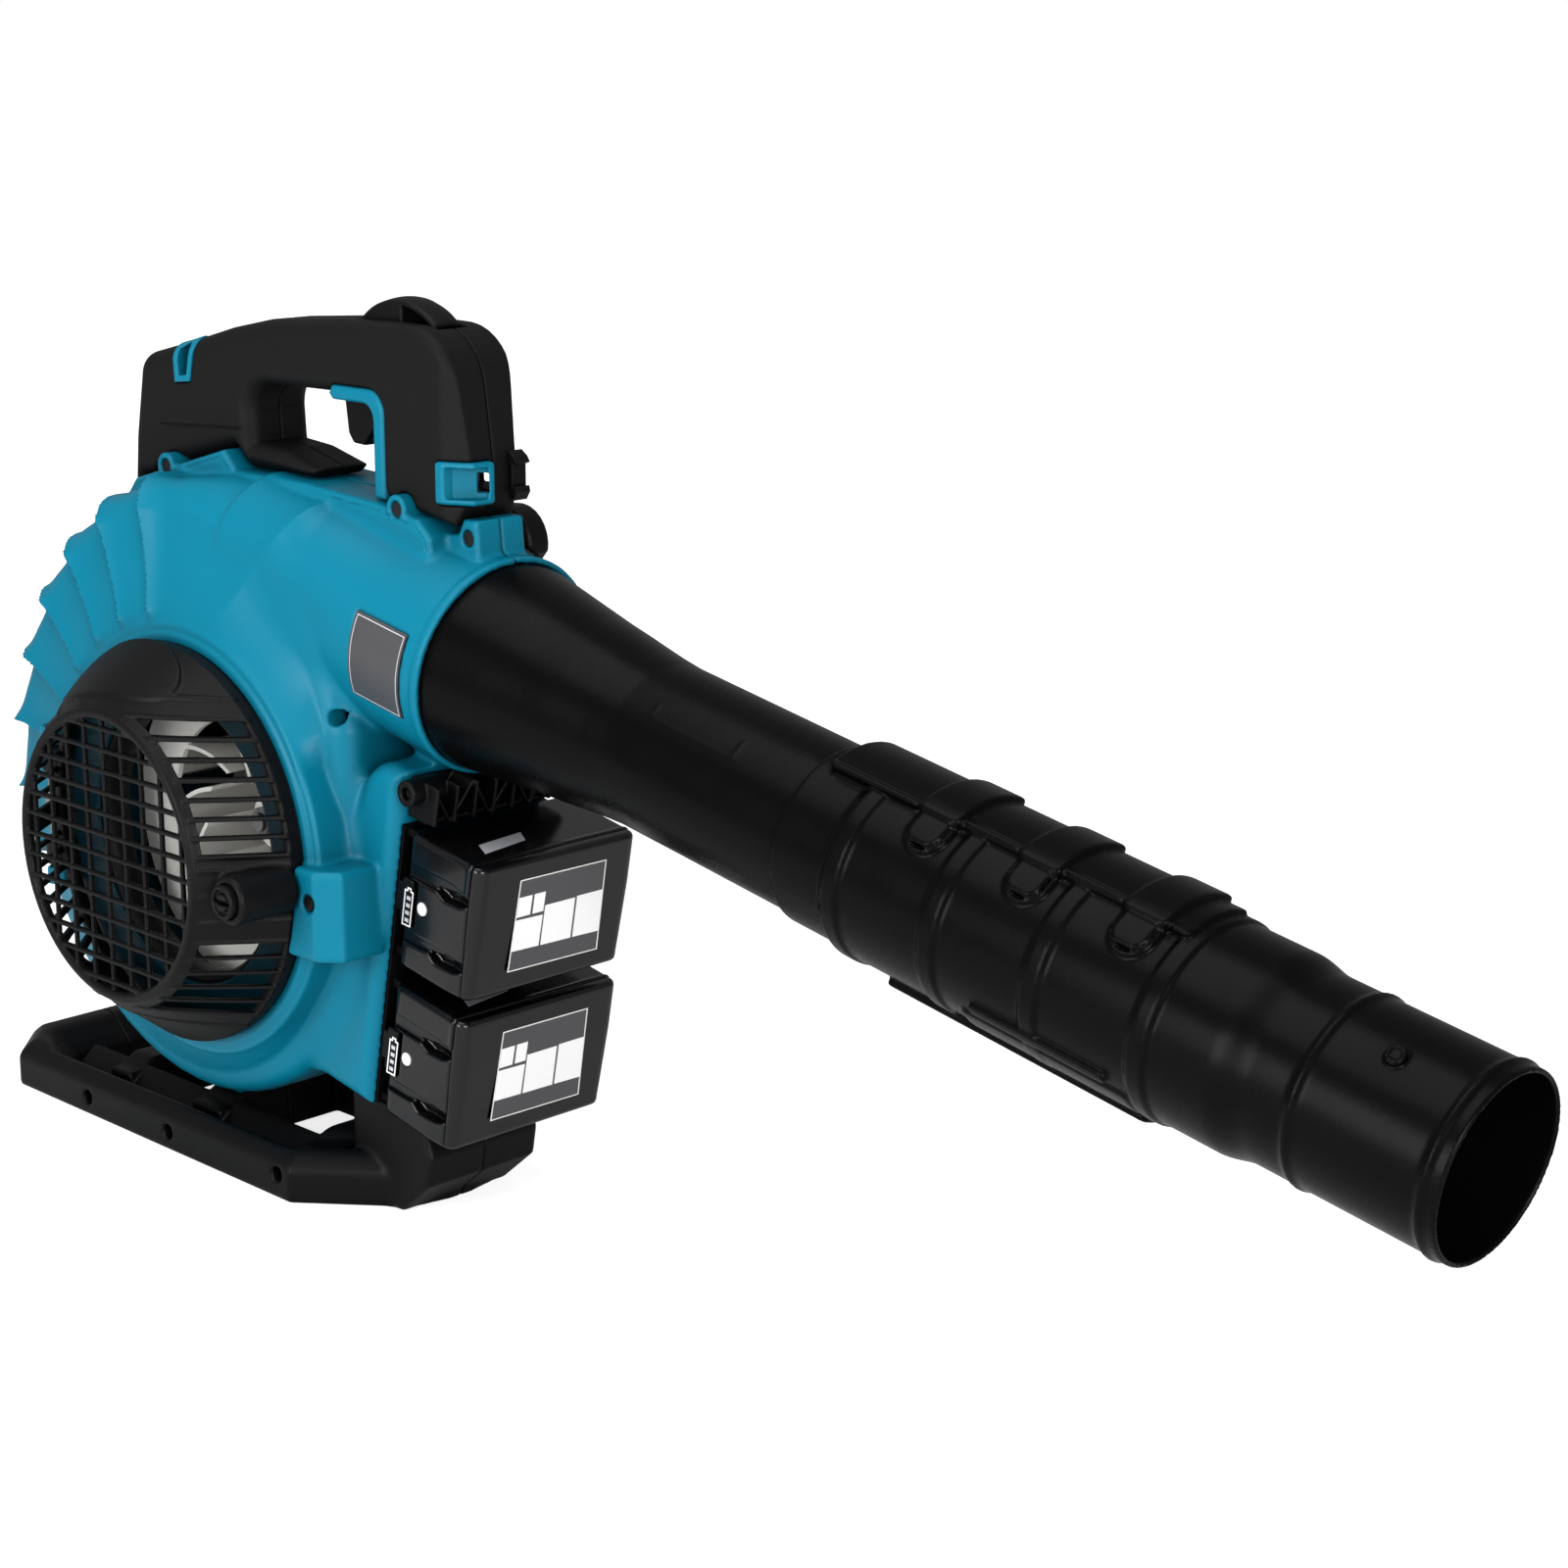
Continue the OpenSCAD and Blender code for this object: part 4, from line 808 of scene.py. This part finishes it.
def frame_slab(name, outer, inner, to_part, body, material, thick=0.18):
    """A thin printed outline between two loops of the same number of corners."""
    n = len(outer)
    rings = [[np.array(p, float) - normal_of(outer) * t for p in loop] for loop, t in
             ((outer, 0), (inner, 0), (inner, thick), (outer, thick))]
    faces = []
    for r in range(4):
        for i in range(n):
            j, q = (i + 1) % n, (r + 1) % 4
            faces.append((r * n + i, r * n + j, q * n + j, q * n + i))
    return add_mesh(name, to_part(np.concatenate(rings)) * MM, faces, body, material, sharp=30)


def on_front(points, lift=0.22):
    return [(PACK_FRONT + lift, y, z) for y, z in points]


def on_end(points, lift=0.5):
    return [(x, -PACK_HALF_L - lift, z) for x, z in points]


LABEL_EDGE = [(-28, -24.5), (34, -25.5), (33, 26.5), (-26, 27)]
LABEL_RIM = [(y * 0.975 + 0.07, z * 0.975) for y, z in LABEL_EDGE]
LABEL_BLOCKS = [
    [(-27, -13), (-8.5, -13.5), (-8, 4), (-26.4, 4.5)],
    [(-7.3, -13.6), (13.5, -14), (13.6, 9), (-7.0, 9)],
    [(14.8, -14), (33, -14.5), (32.6, 9.5), (14.9, 9.5)],
    [(-26, 6), (-17, 6), (-16.6, 17), (-25.6, 17)],
    [(-15.4, 6), (-8, 6), (-7.7, 17), (-15.2, 17)]]
STRIPE = [(5.5, -33.3), (15.6, -37.4), (11.5, -7.1), (2.5, -2.8)]
GAUGE_OUTER = [(-23.4, -13.8), (-16.4, -13.2), (-16.4, 6.6), (-18.3, 6.6), (-18.3, 8), (-21.5, 8),
               (-21.5, 6.3), (-23.4, 6.3)]
GAUGE_INNER = [(-22.6, -12.9), (-17.2, -12.4), (-17.2, 5.7), (-19, 5.7), (-19, 7.1), (-20.8, 7.1),
               (-20.8, 5.5), (-22.6, 5.5)]


def gauge_bar(z):
    return [(-21.4, z - 1.1), (-18.4, z - 1.0), (-18.4, z + 1.1), (-21.4, z + 1.0)]


def button_field(x, y, z):
    return rod(x, z, y, *BUTTON, 3.6, -54.4, -49.4, 0.5)


for i, word in ((0, "upper"), (1, "lower")):
    pack = "pack_" + word
    move = pack_to_part(i)
    sculpt(pack + "_shell", pack_case_field, (-33, -57, -40), (33, 57, 40), 0.9, pack, GLOSS,
           pack + "_case", move)
    sculpt(pack + "_front", pack_cover_field, (22, -57, -40), (34, 57, 40), 0.9, pack, GLOSS,
           pack + "_cover", move)
    sculpt(pack + "_release_tab", pack_release_field, (-33, -57, -14), (-13, -44, 14), 0.6, pack + "_release",
           BLACK, pack + "_release", move)
    sculpt(pack + "_button", button_field, (-15, -56, -6), (-4, -48, 6), 0.5, pack + "_gauge_button", WHITE,
           pack + "_gauge_button", move)
    slab(pack + "_label", on_front(LABEL_EDGE), move, pack, LABEL)
    frame_slab(pack + "_label_rim", on_front(LABEL_EDGE, 0.27), on_front(LABEL_RIM, 0.27), move, pack, PALE)
    for k, block in enumerate(LABEL_BLOCKS):
        slab(pack + "_label_block_%d" % k, on_front(block, 0.34), move, pack, WHITE)
    slab(pack + "_stripe", [(x, y, PACK_HALF_W + 0.2) for x, y in STRIPE], move, pack, SILVER)
    frame_slab(pack + "_gauge_rim", on_end(GAUGE_OUTER), on_end(GAUGE_INNER), move, pack + "_release", WHITE)
    for k in range(4):
        slab(pack + "_gauge_bar_%d" % k, on_end(gauge_bar(-10.2 + 4.1 * k)), move, pack + "_release", SILVER)

# -------- outlet tubes

# along the outlet: distance in the pitched frame, then radius or the ends of a band
REAR_PROFILE = [(118.4, 55.2), (162, 55.2), (189, 51.8), (205, 49.8), (221, 47.8), (236, 46.3), (250, 44.7),
                (262, 43.4), (277, 42.3), (486, 42.2)]
TUBE_WALL = 2.2
BEADS = [436, 494.8, 553.6, 612.4]
BANDS = [(461, 485), (519, 543), (577, 601)]
FRONT_START, FRONT_END, FRONT_BORE = 396, 758.6, 42.5
RAIL_EDGES = [(405, 461, 61, 65, 50.9), (485, 519, 64, 67.5, 50.9), (543, 577, 64, 67.5, 50.9),
              (601, 612, 62, 66, 50.6)]


def angle_of(y, z):
    """Degrees round the outlet's axis, from the right-hand side upwards."""
    return np.degrees(np.arctan2(z, -y))


def patch(s, ang, rr, s0, s1, a0, a1, top, r=1.5):
    """A pad on the tube from s0 to s1 and from angle a0 to a1, up to radius top."""
    across = (np.abs(ang - (a0 + a1) / 2) - (a1 - a0) / 2) * 0.82
    return prism(prism(span(s, s0, s1), across, min(3.0, (s1 - s0) / 2.2)), rr - top, r)


def rear_tube_field(x, y, z):
    z = z - DUCT_Z
    rr = np.hypot(y, z)
    ang = angle_of(y, z)
    prof = np.interp(x, *zip(*REAR_PROFILE)).astype(np.float32)
    slope = 1 / np.sqrt(1 + 0.075 ** 2)
    f = prism(np.maximum((rr - prof) * slope, (prof - TUBE_WALL - rr) * slope), span(x, 118.4, 486), 0.8)
    # embossed guide marks
    marks = np.minimum(np.maximum(np.abs(ang - 41.8) * 0.75 - 0.45, span(x, 298, 352)),
                       np.minimum(np.maximum(np.abs(x - 297.2) - 0.5, span(ang, 44, 52)),
                                  np.maximum(np.abs(x - 353) - 0.5, span(ang, 41.8, 55))))
    f = smin(f, np.maximum(marks, rr - prof - 0.45), 0.3)
    f = smin(f, np.maximum(np.hypot(x - 473, (ang - 48) * 0.74) - 5, np.maximum(rr - 44.5, 41 - rr)), 0.4)
    for a in (0, 180):
        off = (ang - a - 17 + 180) % 360 - 180
        f = cut(f, np.maximum(np.maximum(span(x, 131.8, 138.2), (np.abs(off) - 21) * 0.9), 49 - rr), 0.4)
    return f


def front_tube_field(x, y, z):
    z = z - DUCT_Z
    rr = np.hypot(y, z)
    ang = angle_of(y, z)
    prof = 44.5 + 1.5 * smooth(x, 427, 431) - 3.2 * smooth(x, 647, 665)
    for s in BEADS:
        prof = prof + 1.35 * smooth(x, s - 6, s - 3.6) * (1 - smooth(x, s + 3.6, s + 6))
    for s in (686.5, 750.5):
        prof = prof + 1.3 * np.exp(-((x - s) / 1.9) ** 2)
    f = rr - prof
    rail = patch(x, ang, rr, 405, 612, 63, 112, 49.6, 1.2)
    for s0, s1, a0, a1, top in RAIL_EDGES:
        rail = smin(rail, patch(x, ang, rr, s0, s1, a0, a1, top, 0.8), 0.6)
    low = patch(x, ang, rr, 455, 606, -114, -66, 50.4, 1.6)
    low = smin(low, patch(x, ang, rr, 520, 597, -34, -27, 48.6, 0.8), 0.8)
    low = np.minimum(low, patch(x, ang, rr, 512, 606, -66, -38, 47.4, 1.5))
    ridges = smin(rail, low, 0.8)
    for a, b in BANDS:
        ridges = smin(ridges, patch(x, ang, rr, a, b, 60, 116, 52.3, 2.2), 1.2)
        c = (a + b) / 2
        tongue = patch(x, ang, rr, c - 9, c + 9, 43, 64, 50.2, 1.6)
        reach = np.hypot(np.maximum(0, 52 - ang) * 0.85, x - c)
        ridges = smin(ridges, np.maximum(tongue, reach - 9), 1.0)
        # raised rim round the foot of the tongue
        rim = np.abs(reach - 10.3) - 0.9
        rim = np.maximum(np.maximum(rim, ang - 60), np.maximum(span(ang, 35, 60) * 0.8, rr - 48.4))
        ridges = smin(ridges, rim, 0.6)
    f = smin(f, ridges, 1.2)
    reach = np.hypot(x - 717, (ang - 57) * 0.74)
    button = cut(prism(reach - 4.6, rr - 46.2, 1.2), np.maximum(reach - 2.9, 45.2 - rr), 0.5)
    f = smin(f, button, 0.8)
    bore = FRONT_BORE - 2.2 * smooth(x, 630, 664)
    f = smax(f, bore - rr, 0.3)
    relief = np.maximum(np.maximum(span(x, 440, 606), (np.abs(ang - 68) - 30) * 0.75), rr - 43.4)
    f = cut(f, relief, 0.3)
    return smax(f, span(x, FRONT_START, FRONT_END), 1.4)


for part, field, x0, x1, reach, step in (("rear_tube", rear_tube_field, 116, 488, 57, 1.3),
                                         ("front_tube", front_tube_field, 394, 761, 54, 1.15)):
    sculpt(part + "_wall", field, (x0, -reach, DUCT_Z - reach), (x1, reach, DUCT_Z + reach), step, part, TUBE,
           part, unpitch)

# -------- base

BASE_OUTER = [(-214, -44), (-187, -70), (81, -73), (124, -38), (134, -22), (138, -8), (138, 8), (134, 22),
              (124, 38), (81, 73), (-187, 70), (-214, 44)]
BASE_INNER = [(-176, -38), (-160, -48), (66, -48), (92, -24), (92, 24), (66, 48), (-160, 48), (-176, 38)]
BASE_BLOCK = [(92, 0), (132, 0), (156, 20), (159, 36), (152, 55.5), (100, 67), (92, 60)]
BASE_ROOM = [(-105, 28), (-105, 62), (104.4, 90), (104.4, 28)]
BASE_H = 28
BASE_SCREWS = [(-114, 11), (-33, 11), (70, 14)]


def base_field(side):
    def field(x, y, z):
        xp, zp = pitch(x, z)
        ay = np.abs(y)
        d = outline(x, y, BASE_OUTER)
        f = prism(d, span(z, 0, BASE_H), 3)
        f = smax(f, (d + 1.1 * (z - BASE_H + 8)) * 0.67, 3)
        inner = outline(x, y, BASE_INNER)
        hole = prism(inner, span(z, -60, 60), 2)
        bars = np.minimum(np.minimum(span(x, -124, -104), span(x, -43, -16)), span(x, 60, 80))
        bars = np.maximum(bars, ay - 48)
        ledges = np.maximum(np.abs(ay - 42) - 7.5, span(x, -160, 80))
        f = smax(f, (1.05 * (z - 13) - np.abs(inner)) * 0.69, 3)
        f = smin(f, prism(bars, np.maximum(inner - 6, span(z, 0, BASE_H - 6)), 2), 1)
        f = smin(f, prism(ledges, np.maximum(inner - 6, span(z, 0, 12)), 2), 1)
        f = cut(f, smax(hole, -np.minimum(bars, ledges), 1.5), 2.0)
        block = prism(outline(x, z, BASE_BLOCK), ay - 38, 4)
        f = smin(f, block, 3)
        # room for the scroll, its foot, the column and the packs
        f = cut(f, prism(outline(xp, zp, SCROLL), ay - SCROLL_HALF_W, 13) - 0.4, 0.6)
        f = cut(f, np.maximum(outline(x, z, BASE_ROOM), ay - 34.4), 0.4)
        f = cut(f, box(xp, y, zp, (90, -54.5, -104.3), (144.3, 58, -4), 0.5), 0.4)
        f = cut(f, box(xp, y, zp, (140, -80, -103.9), (230, 80, -4), 0.5), 0.4)
        for sx, sz in BASE_SCREWS:
            f = cut(f, np.maximum(np.hypot(x - sx, z - sz) - 4.4, y + 56), 0.5)
        return np.maximum(smax(f, side * -y + 0.1, 0.5), -z)
    return field


for side, word in ((-1, "right"), (1, "left")):
    sculpt("base_frame_" + word, base_field(side), (-217, -76 if side < 0 else -2, -2),
           (162, 2 if side < 0 else 76, 69), 1.4, "housing", BLACK, "base_" + word)

# -------- bracket over the packs

RIB_PITCH = 13.2


def bracket_field(x, y, z):
    f = prism(span(x, 144.4, 147.4), np.maximum(span(y, -43, 51), span(z, 64.5, 86)), 0.5)
    f = smin(f, box(x, y, z, (144.4, -43, 64), (160, 51, 66.6), 0.8), 0.6)
    for k in range(7):
        y0 = -43 + RIB_PITCH * k
        f = smin(f, box(x, y, z, (146, y0, 65), (166 - 0.4 * k, y0 + 2.0, 86), 0.6), 0.6)
        slant = np.abs((y - y0 - 6.6) * 0.84 - (z - 75) * 0.54 * (1 if k % 2 else -1)) - 0.9
        slant = np.maximum(slant, span(y, y0, y0 + RIB_PITCH))
        f = smin(f, prism(slant, np.maximum(span(x, 146, 163), span(z, 65, 86)), 0.4), 0.6)
    f = smin(f, rod(x, z, y, 151.4, 80, 7, -52, -30, 1), 1)
    f = cut(f, np.hypot(y, z - DUCT_Z) - 58.6, 0.4)
    return cut(f, np.maximum(np.hypot(x - 151.4, z - 80) - 3.4, y + 48), 0.4)


sculpt("bracket_ribs", bracket_field, (142, -54, 62), (170, 54, 90), 0.8, "housing", BLACK,
       "collar_bracket", unpitch)

# -------- rating plate and its border

PLATE_BORDER = [(104.6, 142.4, 18.6, 19.1), (104.6, 142.4, -24.6, -24.1), (104.6, 105.1, -24.6, 19.1),
                (141.9, 142.4, -24.6, 19.1)]


def strip_patch(name, s0, s1, a0, a1, r0, r1, material, replaced=None, steps=14):
    """A closed curved sheet on the collar: stations s0 to s1, angles a0 to a1 and radii r0 to r1."""
    verts, faces = [], []
    for k in range(steps + 1):
        a = math.radians(a0 + (a1 - a0) * k / steps)
        for s, r in ((s0, r0), (s1, r0), (s1, r1), (s0, r1)):
            verts.append((s, -r * math.cos(a), DUCT_Z + r * math.sin(a)))
    for k in range(steps):
        for m in range(4):
            n = (m + 1) % 4
            faces.append((4 * k + m, 4 * k + n, 4 * k + 4 + n, 4 * k + 4 + m))
    end = 4 * steps
    faces += [(3, 2, 1, 0), (end, end + 1, end + 2, end + 3)]
    return add_mesh(name, unpitch(np.array(verts)) * MM, faces, "housing", material, replaced, sharp=30)


strip_patch("rating_film", 103.3, 143.7, -25.6, 20.6, COLLAR_R - 0.7, COLLAR_R + 0.35, LABEL, "rating_plate")
for k, edge in enumerate(PLATE_BORDER):
    strip_patch("rating_border_%d" % k, *edge, COLLAR_R + 0.2, COLLAR_R + 0.5, SILVER)

# -------- parts shown as they are in the CAD

FINISH = (
    (BLACK, "inlet_ring strap_hook trigger_switch pack_holder"),
    (PALE, "fan"),
    (STEEL, "fan_nut motor_shaft motor_plate bearings cover_hinge_pin cover_hinge_spring trigger_pin "
            "trigger_spring speed_lever_pin holder_screws"),
    (DARK_STEEL, "rotor stator motor_plate_screws housing_screws handle_screws base_screws"),
    (COPPER, "windings"),
    (RED, "motor_leads switch_lead"),
    (BOARD, "control_board"),
    (BRASS, "terminals"),
    (CELL, "pack_upper_cells pack_lower_cells"),
)
UNROUNDED = ("fan", "windings", "cover_hinge_spring", "trigger_spring")


def dress(obj, material, rounded):
    """Gives a CAD node its material and, where rounded, softly bevelled edges."""
    obj.data.materials.clear()
    obj.data.materials.append(material)
    for poly in obj.data.polygons:
        poly.material_index = 0
    obj.modifiers.new("weld", "WELD").merge_threshold = 0.00002
    if rounded:
        soft = obj.modifiers.new("soft_edges", "BEVEL")
        soft.width = 0.0003
        soft.segments = 2
        soft.limit_method = "ANGLE"
        soft.angle_limit = math.radians(35)
        soft.harden_normals = True


for material, names in FINISH:
    for cad_name in names.split():
        dress(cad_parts[cad_name], material, cad_name not in UNROUNDED)

# -------- stage, light and camera

WHITE_LIGHT = (1, 1, 1, 1)


def camera_only(tree, bright, dull):
    """Shows one shader to the camera and another to every other ray."""
    seen = node(tree, "LightPath").outputs["Is Camera Ray"]
    return node(tree, "MixShader", {0: seen, 1: dull, 2: bright}).outputs[0]


def stage_floor(half=14.0):
    """A pale floor: it takes a faint shadow, and throws little light back at the object."""
    me = bpy.data.meshes.new("floor")
    corners = [(-half, -half, 0), (half, -half, 0), (half, half, 0), (-half, half, 0)]
    me.from_pydata(corners, [], [(0, 1, 2, 3)])
    mat = bpy.data.materials.new("floor_pale")
    mat.use_nodes = True
    tree = mat.node_tree
    bsdf = tree.nodes["Principled BSDF"]
    feed(tree, bsdf, {"Base Color": (0.6, 0.6, 0.6, 1), "Roughness": 1.0, "Specular IOR Level": 0.0})
    place = node(tree, "TexCoord").outputs["Object"]
    reach = node(tree, "VectorMath", {0: place}, operation="LENGTH").outputs["Value"]
    # the floor glows towards white away from the object
    fade = node(tree, "MapRange", {"Value": reach, "From Min": 0.5, "From Max": 1.3, "To Min": 0.78,
                                   "To Max": 1.1})
    glow = node(tree, "Emission", {1: fade.outputs[0]})
    bright = node(tree, "AddShader", {0: bsdf.outputs[0], 1: glow.outputs[0]})
    dull = node(tree, "BsdfDiffuse", {0: (0.8, 0.8, 0.8, 1)})
    feed(tree, tree.nodes["Material Output"], {0: camera_only(tree, bright.outputs[0], dull.outputs[0])})
    me.materials.append(mat)
    obj = bpy.data.objects.new("floor", me)
    bpy.context.scene.collection.objects.link(obj)


def area(name, at, aim, size, power, size_y=None):
    light = bpy.data.lights.new(name, "AREA")
    light.energy = power
    light.size = size
    if size_y:
        light.shape = "RECTANGLE"
        light.size_y = size_y
    obj = bpy.data.objects.new(name, light)
    obj.location = at
    obj.rotation_euler = (Vector(aim) - Vector(at)).to_track_quat("-Z", "Y").to_euler()
    bpy.context.scene.collection.objects.link(obj)


stage_floor()
area("key_top", (0.1, -0.5, 2.2), (0.1, 0, 0.2), 1.8, 27)
area("side_soft", (0.1, -2.4, 0.8), (0.1, 0, 0.25), 1.3, 42, 1.2)
area("front_soft", (2.3, -1.1, 0.8), (0.1, 0, 0.2), 1.0, 40, 1.0)
world = bpy.context.scene.world or bpy.data.worlds.new("studio")
bpy.context.scene.world = world
world.use_nodes = True
sky = world.node_tree
dim = sky.nodes["Background"]
feed(sky, dim, {0: WHITE_LIGHT, 1: 0.28})
white = node(sky, "Background", {0: WHITE_LIGHT, 1: 1.0})
feed(sky, sky.nodes["World Output"], {0: camera_only(sky, white.outputs[0], dim.outputs[0])})
bpy.context.scene.view_settings.view_transform = "Standard"

# the photograph's viewpoint: round from the front right, and a little above
CAMERA_ROUND, CAMERA_UP = math.radians(44.62), math.radians(13.085)
camera = bpy.data.cameras.new("camera")
camera.sensor_width = 36
camera.lens = 72.009
camera.shift_x = 0.0079
camera.shift_y = -0.0348
camera.clip_end = 60
cam = bpy.data.objects.new("camera", camera)
back = Vector((math.sin(CAMERA_ROUND) * math.cos(CAMERA_UP), -math.cos(CAMERA_ROUND) * math.cos(CAMERA_UP),
               math.sin(CAMERA_UP)))
cam.rotation_mode = "QUATERNION"
cam.rotation_quaternion = back.to_track_quat("Z", "Y")
cam.location = (1.37896, -1.01886, 0.63060)
bpy.context.scene.collection.objects.link(cam)
bpy.context.scene.camera = cam
